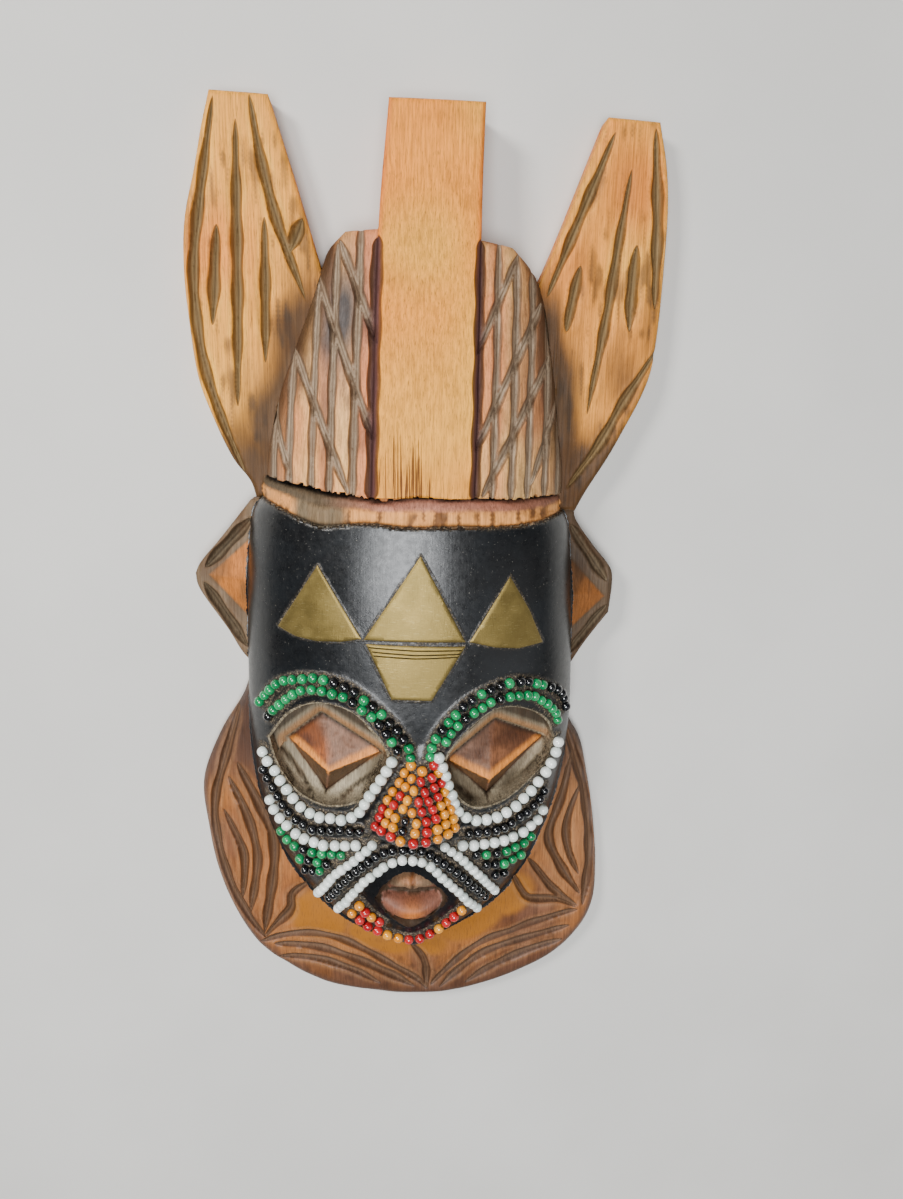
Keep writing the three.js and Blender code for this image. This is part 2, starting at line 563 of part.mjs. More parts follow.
const WHITE_ROWS = {
  cheek_left_white_1: [[-62.8, 126.4], [-56.8, 118.6], [-47.2, 105.4], [-39.7, 101.9], [-26.8, 103.4],
    [-19.4, 114.6], [-11, 130.2]],
  cheek_left_white_2: [[-60.9, 105.4], [-54.9, 96.2], [-47.6, 90.9], [-38.7, 88.8], [-23.8, 90.4]],
  cheek_right_white_1: [[4.6, 132.4], [7.5, 123.7], [9.9, 115.2], [14.5, 104.8], [23.8, 100.2], [38.5, 105.9],
    [50.1, 119.5], [54.2, 130.4]],
  cheek_right_white_2: [[14, 89.4], [23.6, 88.6], [32.6, 88.8], [41.5, 90.9], [47.7, 94.9], [50.2, 99.8]],
  mouth_arm_left: [[-18.4, 92], [-26.9, 81.8], [-33.2, 75.1], [-42.3, 59]],
  mouth_arm_right: [[7.6, 90.6], [14.9, 83.3], [21, 75.4], [31.6, 60.6]],
  mouth_arch: [[-34.2, 51.8], [-25.7, 66.9], [-17.4, 77.5], [-11, 82.4], [-6.3, 83.6], [-1.6, 83], [5, 77.7],
    [13.5, 67.1], [24.6, 51.8]],
};
const BLACK_ROWS = {
  cheek_left_black: [[-62.6, 118.4], [-58.1, 110.4], [-53.3, 102.6], [-46.9, 96.9], [-38.5, 95.6],
    [-24.7, 97], [-22.6, 95.6]],
  cheek_right_black: [[16.4, 94.6], [22.9, 94.4], [31.2, 94.7], [39.1, 98.6], [46.4, 103.2], [50, 108.6]],
  mouth_black_arch: [[-37.6, 58], [-28.6, 73.7], [-21.7, 81.3], [-14.8, 87.2], [-7.9, 89],
    [-2.8, 88.6], [4.3, 84.8], [10.5, 79.2], [19.9, 68.6], [27.8, 57.6]],
};
const CHIN_ROWS = {
  chin_outer: [[-29.4, 53.4], [-24.5, 48.6], [-18.2, 43.4], [-11.5, 40], [-2, 37.6], [6.6, 42.4], [13.9, 50],
    [18.9, 55]],
  chin_inner: [[-25.4, 59.8], [-21.5, 53.6], [-15, 47.4]],
};

// Eight rows of beads cover the nose, wide at its base and narrow at the bridge.
const NOSE_ROW_COUNT = 8;
const NOSE_BASE_ROW = { y: 98, half: 16.2, middle: -3.6 };
const NOSE_BRIDGE_ROW = { y: 126, half: 5, middle: -0.8 };
const noseRows = Object.fromEntries(Array.from({ length: NOSE_ROW_COUNT }, (_, i) => {
  const between = (key) =>
    THREE.MathUtils.lerp(NOSE_BASE_ROW[key], NOSE_BRIDGE_ROW[key], i / (NOSE_ROW_COUNT - 1));
  const [y, half, middle] = [between('y'), between('half'), between('middle')];
  return [`nose_${i + 1}`, [[middle - half, y + 1.6], [middle, y - 0.4], [middle + half, y + 1.6]]];
}));

// Finish of the pieces

const finish = (color, roughness, metalness = 0) =>
  new THREE.MeshStandardMaterial({ color, roughness, metalness });
const WOOD = finish(0xb5763f, 0.6);
const BRASS = finish(0xa8935c, 0.4, 0.9);
const GLASS = {
  green: finish(0x0f8a50, 0.25),
  white: finish(0xe6e6dc, 0.3),
  black: finish(0x14161a, 0.25),
  mixed: finish(0xd8662a, 0.3),
};

function piece(name, geometry, material) {
  const mesh = new THREE.Mesh(geometry, material);
  mesh.name = name;
  return mesh;
}

const mask = new THREE.Group();
mask.add(piece('carved_wood_mask', toGeometry(carvedBody), WOOD));
for (const [name, outline] of Object.entries(PLATES)) {
  mask.add(piece(name, toGeometry(plateSolid(outline)), BRASS));
}
const beadSets = [
  [GREEN_ROWS, 'green'], [WHITE_ROWS, 'white'], [BLACK_ROWS, 'black'],
  [CHIN_ROWS, 'mixed'], [noseRows, 'mixed'],
];
for (const [rows, glass] of beadSets) {
  for (const [name, path] of Object.entries(rows)) {
    const across = glass === 'white' && name.startsWith('cheek') ? BIG_BEAD : BEAD;
    mask.add(piece(`beads_${name}`, toGeometry(beadRow(path, across)), GLASS[glass]));
  }
}

// The origin is on the back plane, under the middle of the mask's box.
mask.position.set(-(COLLAR_LEFT + HORN_RIGHT) / 2, -(COLLAR_LOW + HORN_TIP) / 2, 0);

export default mask;
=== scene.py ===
import math

import bpy
import numpy as np
from mathutils import Matrix, Vector
from mathutils.geometry import delaunay_2d_cdt
from mathutils.kdtree import KDTree


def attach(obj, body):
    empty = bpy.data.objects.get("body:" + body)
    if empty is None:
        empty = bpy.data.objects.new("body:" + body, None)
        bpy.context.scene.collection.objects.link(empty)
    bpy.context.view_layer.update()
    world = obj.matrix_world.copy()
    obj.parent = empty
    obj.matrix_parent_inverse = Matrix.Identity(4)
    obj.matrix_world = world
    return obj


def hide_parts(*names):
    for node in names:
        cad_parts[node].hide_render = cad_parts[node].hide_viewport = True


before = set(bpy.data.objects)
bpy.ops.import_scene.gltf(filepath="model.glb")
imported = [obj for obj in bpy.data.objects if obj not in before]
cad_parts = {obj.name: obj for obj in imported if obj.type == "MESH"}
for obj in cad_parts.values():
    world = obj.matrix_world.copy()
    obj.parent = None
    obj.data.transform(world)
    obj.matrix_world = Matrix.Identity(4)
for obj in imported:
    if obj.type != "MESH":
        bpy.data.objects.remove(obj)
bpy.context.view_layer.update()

# A carved wooden mask with beads and brass, lying on its flat back.
# Carving sizes are in millimetres on the plan: x from the middle of the mask, y up from the collar.
# Blender objects are in metres, in the frame of the solids.

MM = 0.001
# A distance that stands for out of reach, and one that still counts as on a line
FAR = 99.0
TOUCH = 0.06

HORN_TIP = 365.0
COLLAR_LOW = -1.8
COLLAR_LEFT = -90.4
HORN_RIGHT = 89.8
PLAN_SHIFT = np.array([-(COLLAR_LEFT + HORN_RIGHT) / 2, -(COLLAR_LOW + HORN_TIP) / 2])
HORN_THICKNESS = 12.0
EAR_THICKNESS = 12.0
DOME_EDGE = 10.0

# Grid of the mesh in front and behind
SPACING = 0.93
BACK_SPACING = 3.2

# Width of the beads, and of those in the rows whose names begin like this
BEAD = 4.1
BEAD_SIZES = {"cheek_left_white": 4.65, "cheek_right_white": 4.65, "mouth_ar": 4.25, "nose": 4.05,
              "chin": 4.35}

# What a point of the plan lies on
(ON_HORN, ON_EAR, ON_COLLAR, ON_FACE, IN_BAND, ON_CAP, ON_BAR, ON_NOSE, ON_EYE, ON_UPPER_LIP,
 ON_LOWER_LIP, IN_SOCKET, IN_MOUTH) = range(1, 14)

random = np.random.default_rng(11)


# Curves and distances on the plan

# How many pairs of a point and a piece of line are worked out at once, for the memory's sake
PAIRS_AT_ONCE = 2_000_000


def smooth_value(stations):
    """Smooth value along y through (y, value) stations."""
    y, value = np.array(stations, float).T
    slope = np.empty_like(value)
    slope[1:-1] = (value[2:] - value[:-2]) / (y[2:] - y[:-2])
    slope[0] = (value[1] - value[0]) / (y[1] - y[0])
    slope[-1] = (value[-1] - value[-2]) / (y[-1] - y[-2])

    def at(where):
        where = np.clip(where, y[0], y[-1])
        i = np.clip(np.searchsorted(y, where, side="right") - 1, 0, len(y) - 2)
        span = y[i + 1] - y[i]
        s = (where - y[i]) / span
        start = (2 * s**3 - 3 * s**2 + 1) * value[i] + (s**3 - 2 * s**2 + s) * span * slope[i]
        end = (3 * s**2 - 2 * s**3) * value[i + 1] + (s**3 - s**2) * span * slope[i + 1]
        return start + end

    return at


def evenly(line, step):
    """The same open line with its points about step apart."""
    line = np.asarray(line, float)
    lengths = np.linalg.norm(np.diff(line, axis=0), axis=1)
    run = np.concatenate([[0.0], np.cumsum(lengths)])
    count = max(2, int(round(run[-1] / step)) + 1)
    stops = np.linspace(0, run[-1], count)
    return np.stack([np.interp(stops, run, line[:, k]) for k in range(line.shape[1])], axis=1)


def spline(points, step):
    """Points about step apart on a smooth curve through the given points."""
    points = np.asarray(points, float)
    if len(points) == 2:
        return evenly(points, step)
    before = 2 * points[0] - points[1]
    after = 2 * points[-1] - points[-2]
    track = np.vstack([before, points, after])
    s = np.linspace(0, 1, 17)[:, None]
    bends = [points[:1]]
    for p0, p1, p2, p3 in zip(track, track[1:], track[2:], track[3:]):
        d0, d1, d2 = [max(1e-6, np.linalg.norm(b - a) ** 0.5) for a, b in ((p0, p1), (p1, p2), (p2, p3))]
        m1 = ((p1 - p0) / d0 - (p2 - p0) / (d0 + d1) + (p2 - p1) / d1) * d1
        m2 = ((p2 - p1) / d1 - (p3 - p1) / (d1 + d2) + (p3 - p2) / d2) * d1
        curve = (2 * s**3 - 3 * s**2 + 1) * p1 + (s**3 - 2 * s**2 + s) * m1
        curve = curve + (3 * s**2 - 2 * s**3) * p2 + (s**3 - s**2) * m2
        bends.append(curve[1:])
    return evenly(np.vstack(bends), step)


def outline(points, step=1.0, corner=32.0):
    """A closed outline, smooth between its sharp corners."""
    points = np.asarray(points, float)
    ahead = np.roll(points, -1, axis=0) - points
    behind = points - np.roll(points, 1, axis=0)
    turn = np.degrees(np.arctan2(
        behind[:, 0] * ahead[:, 1] - behind[:, 1] * ahead[:, 0], (behind * ahead).sum(axis=1)))
    corners = [i for i in range(len(points)) if abs(turn[i]) > corner]
    if not corners:
        return spline(np.vstack([points, points[:1]]), step)
    sides = []
    for here, there in zip(corners, corners[1:] + [corners[0] + len(points)]):
        side = [points[i % len(points)] for i in range(here, there + 1)]
        sides.append(spline(side, step)[:-1])
    closed = np.vstack(sides)
    return np.vstack([closed, closed[:1]])


def nearest(points, line, reach=None):
    """Distance to a line, place along it from 0 to 1, and side of it, for each point."""
    distance = np.full(len(points), 1e3)
    place = np.zeros(len(points))
    side = np.ones(len(points))
    near = np.arange(len(points))
    if reach is not None:
        inside_box = (points >= line.min(axis=0) - reach) & (points <= line.max(axis=0) + reach)
        near = np.nonzero(inside_box.all(axis=1))[0]
    if len(near) == 0:
        return distance, place, side
    start = line[:-1]
    way = line[1:] - start
    length = np.linalg.norm(way, axis=1)
    run = np.concatenate([[0.0], np.cumsum(length)])
    for few in np.array_split(near, len(near) * len(start) // PAIRS_AT_ONCE + 1):
        gap = points[few, None, :] - start[None, :, :]
        t = np.clip((gap * way).sum(axis=2) / np.maximum(length**2, 1e-12), 0, 1)
        off = gap - t[..., None] * way
        square = (off**2).sum(axis=2)
        best = square.argmin(axis=1)
        row = np.arange(len(few))
        distance[few] = np.sqrt(square[row, best])
        place[few] = (run[best] + t[row, best] * length[best]) / run[-1]
        cross = way[best, 0] * gap[row, best, 1] - way[best, 1] * gap[row, best, 0]
        side[few] = np.where(cross < 0, -1.0, 1.0)
    return distance, place, side


def inside(points, loop):
    """Whether each point lies inside a closed loop."""
    result = np.zeros(len(points), bool)
    box = (points >= loop.min(axis=0)) & (points <= loop.max(axis=0))
    near = np.nonzero(box.all(axis=1))[0]
    if len(near) == 0:
        return result
    a = loop[:-1]
    b = loop[1:]
    rise = np.where(b[:, 1] == a[:, 1], 1e-12, b[:, 1] - a[:, 1])
    for few in np.array_split(near, len(near) * len(a) // (2 * PAIRS_AT_ONCE) + 1):
        x = points[few, 0][:, None]
        y = points[few, 1][:, None]
        spans = (a[:, 1] > y) != (b[:, 1] > y)
        cuts = x < a[:, 0] + (y - a[:, 1]) * (b[:, 0] - a[:, 0]) / rise
        result[few] = (spans & cuts).sum(axis=1) % 2 == 1
    return result


def depth_inside(points, loop):
    """Distance in from a loop, negative outside it."""
    distance = nearest(points, loop)[0]
    return np.where(inside(points, loop), distance, -distance)


def offset(loop, inwards):
    """A closed loop moved inwards by a distance, without the places where it would fold."""
    ahead = np.roll(loop[:-1], -1, axis=0) - np.roll(loop[:-1], 1, axis=0)
    normal = np.stack([-ahead[:, 1], ahead[:, 0]], axis=1)
    normal /= np.maximum(np.linalg.norm(normal, axis=1), 1e-9)[:, None]
    area = (loop[:-1, 0] * loop[1:, 1] - loop[1:, 0] * loop[:-1, 1]).sum()
    moved = loop[:-1] + normal * inwards * np.sign(area)
    good = nearest(moved, loop)[0] > abs(inwards) * 0.93
    return cut_line(np.vstack([moved, moved[:1]]), np.concatenate([good, good[:1]]))


def beside(line, away):
    """A line alongside another, at the given distances to its left."""
    ahead = np.gradient(line, axis=0)
    left = np.stack([-ahead[:, 1], ahead[:, 0]], axis=1)
    left /= np.linalg.norm(ahead, axis=1)[:, None]
    return line + left * np.reshape(away, (-1, 1))


def cut_line(line, keep):
    """The stretches of a line whose points are kept."""
    stretches = [[]]
    for point, good in zip(line, keep):
        if good:
            stretches[-1].append(point)
        else:
            stretches.append([])
    return [np.array(part) for part in stretches if len(part) > 1]


def sides_of(corners):
    """Pairs of neighbouring corners, all the way round."""
    return zip(corners, corners[1:] + corners[:1])


def ramp(value, low, high):
    """Smooth step from 0 at low to 1 at high."""
    t = np.clip((value - low) / (high - low), 0, 1)
    return t * t * (3 - 2 * t)


def make_noise(cell, seed):
    """A smooth random field on the plan, from -1 to 1, with bumps about one cell across."""
    table = np.random.default_rng(seed).uniform(-1, 1, (64, 64))

    def at(points, stretch=1.0):
        u = points[:, 0] / cell + 500.0
        v = points[:, 1] / (cell * stretch) + 500.0
        i = np.floor(u).astype(int)
        j = np.floor(v).astype(int)
        s = u - i
        t = v - j
        s = s * s * (3 - 2 * s)
        t = t * t * (3 - 2 * t)
        near = table[i % 64, j % 64] * (1 - s) + table[(i + 1) % 64, j % 64] * s
        far = table[i % 64, (j + 1) % 64] * (1 - s) + table[(i + 1) % 64, (j + 1) % 64] * s
        return near * (1 - t) + far * t

    return at


# Outlines of the carving

LEFT_HORN = outline([
    (-77, HORN_TIP), (-56.6, 364.4), (-47, 334.2), (-40, 311), (-30, 280), (-45, 225), (-64.5, 223),
    (-66.5, 229), (-72.8, 237.5), (-80.1, 253.7), (-84.6, 267), (-87.2, 288.1), (-88.2, 305),
    (-87.2, 322.4), (-83.1, 339.6), (-80, 353.8),
])
RIGHT_HORN = outline([
    (65.3, 362), (84.6, 361.2), (88, 347.5), (89.6, 334.2), (HORN_RIGHT, 313.5), (88.8, 286),
    (86.6, 270.5), (75.1, 245.4), (64, 226.2), (60.3, 219), (45, 220), (30, 280), (43.5, 306.5),
])
LEFT_EAR = outline([
    (-55, 225), (-66.9, 221.9), (-78.9, 206.8), (-87.3, 196.7), (-89, 192.9), (-88.2, 187.9),
    (-77.2, 170.3), (-69.5, 158), (-55, 150),
])
RIGHT_EAR = outline([
    (50, 222), (60, 219.5), (60.6, 216.3), (69.4, 204.3), (76.2, 196.1), (77.3, 192), (76.5, 177.6),
    (66.9, 164.2), (60, 153), (50, 150),
])
COLLAR_RIM_LINE = spline([
    (-66, 172), (-71.8, 144.1), (-83.4, 123.7), (COLLAR_LEFT, 104), (-89.4, 82.9), (-85.7, 61.4),
    (-79, 42.2), (-69, 25.4), (-57, 15.2), (-41, 5.6), (-17.4, -0.2), (6.2, COLLAR_LOW),
    (22.5, -0.1), (47.8, 8.8), (63.6, 18.6), (74, 31), (78.6, 43.6), (79, 62.8), (76, 88),
    (72.8, 104.4), (68.7, 120.6), (62.1, 133.3), (60, 160),
], 1.0)
COLLAR_INNER_LINE = spline([
    (-60, 172), (-62, 130), (-58, 92), (-42, 62), (-18, 44), (-4, 40), (12, 45), (34, 62), (50, 92),
    (55, 130), (56, 160),
], 2.0)
COLLAR = np.vstack([COLLAR_RIM_LINE, [(40, 160), (-40, 172)], COLLAR_RIM_LINE[:1]])
COLLAR_RIM = 8.0
COLLAR_AT_FACE = 16.0
COLLAR_SWELL = 1.2
CHIN = 31.5

face_left = smooth_value([
    (31.5, -8), (34, -16), (39, -26), (48, -37.5), (60, -48), (78, -58.5), (95, -64.5), (115, -68),
    (134, -69.5), (160, -69.5), (195, -68.5), (212, -67), (219, -65.5), (224, -62),
])
face_right = smooth_value([
    (31.5, 4), (34, 8), (39, 17), (48, 30), (60, 41), (78, 50), (95, 56), (115, 60), (134, 62),
    (160, 61.5), (195, 59.5), (212, 58), (219, 55.5), (224, 51),
])
face_crown = smooth_value([
    (31.5, 19), (40, 23), (60, 31), (85, 38), (110, 43), (130, 46), (160, 48), (190, 48.5),
    (224, 47.5),
])
cap_left = smooth_value([
    (215, -60), (234, -60), (250, -57.5), (265, -53.5), (280, -48), (296, -42), (312, -37),
])
cap_right = smooth_value([
    (215, 54), (234, 54), (250, 52), (265, 50), (280, 47.5), (296, 44.5), (312, 39),
])
cap_crown = smooth_value([(215, 52), (228, 51), (250, 48), (275, 42), (300, 34), (320, 27)])


def band_left(y):
    """Left side of the sunken band above the face."""
    return np.minimum(face_left(y), cap_left(y))


def band_right(y):
    """Right side of the sunken band."""
    return np.maximum(face_right(y), cap_right(y))


def band_crown(y):
    """Height of the band's middle, which keeps the height of the face's top."""
    return face_crown(np.minimum(y, 224.0))


HAIRLINE = spline([
    (-75, 236), (-58.6, 231.6), (-50, 230.6), (-44, 230.2), (-36, 228.6), (-24, 227.3), (-19, 226.2),
    (-14, 226.3), (-9, 227.3), (0, 227.8), (8, 227.0), (16, 227.4), (24, 227.0), (33, 226.4),
    (43, 227.0), (52, 226.6), (75, 227),
], 0.8)
BAND_FOOT = spline([
    (-75, 226), (-58, 222.8), (-46, 218.4), (-38, 216.2), (-30, 216.9), (-22, 217.8), (-6, 216.6),
    (13, 217), (24, 216.4), (42, 217.5), (52, 219.5), (75, 221),
], 0.8)
CAP_TOP = [
    (75, 280), (41.8, 305), (36.5, 310), (30.5, 314.8), (17, 316.5), (-18, 319), (-29.4, 318.6),
    (-34.6, 314.2), (-39.5, 309), (-75, 280),
]

BAR_FOOT = 227.6
BAR_TIP = 362.4
bar_middle = smooth_value([(BAR_FOOT, -1.8), (320, 0.4), (BAR_TIP, 2.7)])
bar_half = smooth_value([(BAR_FOOT, 18), (320, 18), (BAR_TIP, 16.9)])
bar_front = smooth_value([
    (BAR_FOOT, 52.4), (250, 49.2), (275, 43.2), (300, 35.4), (320, 28.6), (340, 23.6), (BAR_TIP, 21),
])


def bar_left(y):
    """Left side of the centre bar."""
    return bar_middle(y) - bar_half(y)


def bar_right(y):
    """Right side of the centre bar."""
    return bar_middle(y) + bar_half(y)


def between_sides(left, right, low, high):
    """Closed loop between two side lines that are given along y."""
    y = np.linspace(low, high, int((high - low) / 0.9) + 2)
    right_side = np.stack([right(y), y], axis=1)
    left_side = np.stack([left(y), y], axis=1)[::-1]
    top = evenly([right_side[-1], left_side[0]], 1.0)[1:-1]
    bottom = evenly([left_side[-1], right_side[0]], 1.0)[1:]
    return np.vstack([right_side, top, left_side, bottom])


FACE = between_sides(face_left, face_right, CHIN, 224.0)
BAR = between_sides(bar_left, bar_right, BAR_FOOT, BAR_TIP)


def cap_loop():
    """Outline of the cap: its two sides and its stepped top."""
    y = np.linspace(215, 300, 95)
    right = np.stack([cap_right(y), y], axis=1)
    left = np.stack([cap_left(y), y], axis=1)[::-1]
    top = evenly(CAP_TOP[1:-1], 1.0)
    top = top[(top[:, 0] < cap_right(top[:, 1])) & (top[:, 0] > cap_left(top[:, 1]))]
    loop = np.vstack([right, top, left])
    return np.vstack([loop, loop[:1]])


CAP = cap_loop()
ZONES = [LEFT_HORN, RIGHT_HORN, LEFT_EAR, RIGHT_EAR, COLLAR, FACE, CAP, BAR]

EYES = {
    "left": {
        "socket": [(-60, 131.5), (-50.5, 144.5), (-39.5, 149.5), (-28, 147.5), (-19.5, 140),
                   (-13.5, 129.5), (-19.5, 114), (-30, 107.5), (-39, 106.5), (-48.5, 110.5),
                   (-56.5, 121)],
        "floor": [(-60, 19), (-13.5, 34)],
        "corners": [(-52.8, 128.5), (-39.5, 140), (-16.5, 127), (-38, 108)],
        "front": (-36.6, 119.5),
    },
    "right": {
        "socket": [(52.5, 130.5), (49, 138.5), (40.5, 145), (28.5, 147.5), (17.5, 140.5), (8, 127.5),
                   (10.5, 118.5), (14.5, 110), (21, 105.5), (30.5, 106.5), (41, 113), (49.5, 121)],
        "floor": [(8, 34), (52.5, 17)],
        "corners": [(49.8, 127), (29, 137), (9.8, 123.5), (26.3, 106.3)],
        "front": (26.4, 115.5),
    },
}
EYE_RISE = 9.0
LID_REACH = 12.0
CREASE = 4.4
for eye_name, eye in EYES.items():
    eye["loop"] = spline(eye["socket"] + eye["socket"][:1], 1.0)
    eye["lid_line"] = np.vstack([
        evenly(eye["corners"][:2], 1.0)[:-1], evenly(eye["corners"][1:3], 1.0)])
    eye["under_line"] = np.vstack([
        evenly([eye["corners"][0], eye["corners"][3]], 1.0)[:-1], evenly(eye["corners"][3:1:-1], 1.0)])
    eye["lid_side"] = eye_name == "left"
    eye["middle"] = np.mean(np.array(eye["socket"]), axis=0)
MOUTH_LOOP = spline([
    (-19, 61), (-14, 70), (-5.5, 76), (4, 70), (11.5, 59.5), (4.5, 50), (-4, 43.5), (-13, 51),
    (-19, 61)], 1.0)
MOUTH_MIDDLE = np.array([-3.8, 60.0])
MOUTH_FLOOR = 23.5
LIP_DIP = -3.2
UPPER_LIP = {
    "line": spline([
        (-12.5, 63.8), (-9, 66.6), (-5.5, 68.2), (-3.2, 67.6), (-1, 68.2), (2.8, 66.6), (6.5, 63.4)
    ], 0.8), "width": 9.5, "rise": 10.0, "base": 22.0}
LOWER_LIP = {
    "line": spline([(-19.5, 61.2), (-12.5, 56.8), (-5, 53.8), (0, 54), (6.6, 57), (12.6, 60.4)], 0.8),
    "width": 12.5, "rise": 11.0, "base": 19.5}

nose_half = smooth_value([(90, 12.8), (94, 16), (99, 15.2), (110, 12), (120, 8), (134, 3.2)])
nose_middle = smooth_value([(90, -3), (94, -3), (99, -2), (110, -2), (120, -1), (134, -1)])
nose_height = smooth_value([(90, 40), (94, 48.5), (99, 51), (110, 50.2), (120, 49.1), (134, 46.5)])
nose_side = smooth_value([(90, 37), (94, 39), (99, 40.5), (110, 42.5), (120, 44), (134, 45)])

# Gouge cuts: their paths on the plan

HORN_GOUGES = [
    [(-75.5, 363), (-79.7, 340), (-83.5, 317), (-84.8, 300), (-82.6, 274), (-77, 254), (-68, 231)],
    [(-68, 356), (-68.6, 329), (-69, 305), (-70.3, 257)],
    [(-75.8, 321), (-77.3, 303.5), (-78.5, 286)],
    [(-58.8, 324), (-59.1, 299), (-59.6, 273)],
    [(-63, 364), (-60, 345.6), (-54.6, 323.6), (-44.5, 296)],
    [(-45.3, 324), (-50, 312.5)],
    [(68, 357), (59, 333.7), (45.5, 299.5)],
    [(74.9, 345), (71.9, 319.7), (68.4, 290.7), (63, 256.5)],
    [(78.6, 319), (78, 303), (77.6, 287.5)],
    [(83, 359), (86, 328.5), (87, 296)],
    [(89.4, 282), (77, 261), (68.4, 244.7), (56.5, 228)],
    [(57.6, 311), (55.3, 298.7), (53.3, 287)],
]
CAP_LEAN = 0.03
FLUTE_FOOT = 225.0
LEFT_FLUTES = [(-26.6, 321), (-34.8, 315), (-41.4, 304), (-50, 279), (-56.5, 262)]
RIGHT_FLUTES = [(22.6, 317), (29.8, 313), (36.2, 310), (43.6, 301), (50, 275)]
FLUTES = [
    [(x, FLUTE_FOOT), (x + CAP_LEAN * (top - FLUTE_FOOT), top)] for x, top in LEFT_FLUTES + RIGHT_FLUTES
]
CAP_DIAGONALS = [
    [(-31.5, 316), (-17.7, 279)], [(-40.5, 306), (-29.1, 274.4), (-18.5, 246)],
    [(-48, 278), (-27.8, 228)], [(-57.2, 257), (-48.6, 231.5)], [(33, 313), (16.3, 276)],
    [(42.5, 297), (28.1, 268.2), (16.2, 243.5)], [(46.5, 278), (40.6, 267.7), (18.8, 227.5)],
    [(49.5, 262), (37.6, 231)],
]
BAR_CHANNELS = [
    [(float(bar_middle(y) + way * bar_half(y)), y) for y in range(226, 322, 6)]
    for way in (-1, 1)
]
COLLAR_GOUGES = [
    [(-74, 138), (-78, 124), (-81.8, 111), (-85.2, 98), (-85.8, 82), (-79.8, 54.5), (-72.9, 40),
     (-66.5, 30)],
    [(-75.5, 114), (-68.2, 99), (-62, 84), (-61, 72.8), (-62.2, 60.7), (-67, 32)],
    [(-79.4, 107.5), (-71.9, 90), (-68.3, 71.5), (-69.5, 60), (-72.8, 42)],
    [(-82, 92.5), (-74.4, 73), (-74.2, 63.5), (-76, 49)],
    [(-46, 61), (-54.1, 53.4), (-55.1, 46), (-62.1, 36.6), (-66.9, 30)],
    [(-69, 28), (-52.7, 33.3), (-38.8, 32.9), (-27.5, 28), (-13.5, 18.2), (0.8, 7), (4.5, 2)],
    [(-63, 27), (-44.4, 26.2), (-30.7, 21.6), (-13.5, 11.9), (-1, 3.6)],
    [(-61, 20.6), (-44.6, 19.8), (-30.8, 14.8), (-16, 6)],
    [(-3.5, 30), (2.9, 19), (4.6, 2)],
    [(71.5, 40.5), (51, 36.2), (41, 32.5), (30.8, 28.8), (23.3, 24), (13.3, 13.3), (6, 4)],
    [(68.5, 32.5), (51.6, 28.5), (36.4, 24.5), (26.2, 19.2), (16.1, 9.4), (10, 2.5)],
    [(65.5, 25.3), (47.2, 19.9), (32.9, 12.7), (21.5, 4.5)],
    [(60.8, 129), (67.5, 110), (71.2, 98), (74.2, 80), (75.4, 63), (73.4, 42)],
    [(64.6, 116), (60.2, 95), (55.8, 79), (61.7, 64), (72, 48)],
    [(69.2, 101), (64.7, 88.4), (63.7, 81), (65.6, 70), (70.8, 58)],
    [(46.5, 70), (52.9, 61), (59.5, 52), (71, 42.2)],
    [(39.5, 64), (45.1, 53), (47.9, 49.5), (62.2, 46.2), (70.5, 41.5)],
]
EAR_GOUGES = [
    [(-66.5, 215), (-85, 195.3)], [(-85.8, 189.5), (-69.5, 163)],
    [(58.5, 214), (75.2, 190.5)], [(75.6, 181), (60, 160)],
]
EAR_PANELS = [
    {"corners": [(-84, 192.6), (-62, 212), (-62, 168)], "peak": (-62, 191)},
    {"corners": [(74.5, 184.5), (54, 206), (54, 164)], "peak": (54, 186)},
]
EAR_PANEL_RISE = 6.0


def gouge_set(zones, paths, width, depth, entry, hollow, swell):
    """Gouge cuts with the hand's small unevenness in width and depth."""
    cuts = []
    for path in paths:
        uneven = random.uniform(0.9, 1.12)
        line = spline(path, 0.85)
        length = float(np.linalg.norm(np.diff(line, axis=0), axis=1).sum())
        cuts.append({
            "line": line, "length": length, "width": width * uneven, "depth": depth * uneven,
            "entry": min(entry, length * 0.35), "hollow": hollow, "swell": swell, "zones": zones,
        })
    return cuts


# Width and depth of the cuts, how long they run in and out, and how deep and wide the wood
# beside them is sunk
GOUGES = (
    gouge_set((ON_HORN,), HORN_GOUGES, 5.0, 2.6, 34.0, 0.35, 3.5)
    + gouge_set((ON_CAP, ON_BAR), FLUTES, 3.7, 2.5, 7.0, 0.15, 2.6)
    + gouge_set((ON_CAP, ON_BAR), CAP_DIAGONALS, 3.9, 2.4, 7.0, 0.15, 2.6)
    + gouge_set((ON_CAP, ON_BAR), BAR_CHANNELS, 4.8, 3.4, 3.0, 0.0, 2.0)
    + gouge_set((ON_COLLAR,), COLLAR_GOUGES, 4.6, 2.3, 14.0, 1.0, 4.4)
    + gouge_set((ON_EAR,), EAR_GOUGES, 4.8, 2.6, 8.0, 0.3, 3.0)
)

# Beads: path of each row on the plan, and the colour of each bead from the path's start.
# g green, k black, w white, r red, y yellow

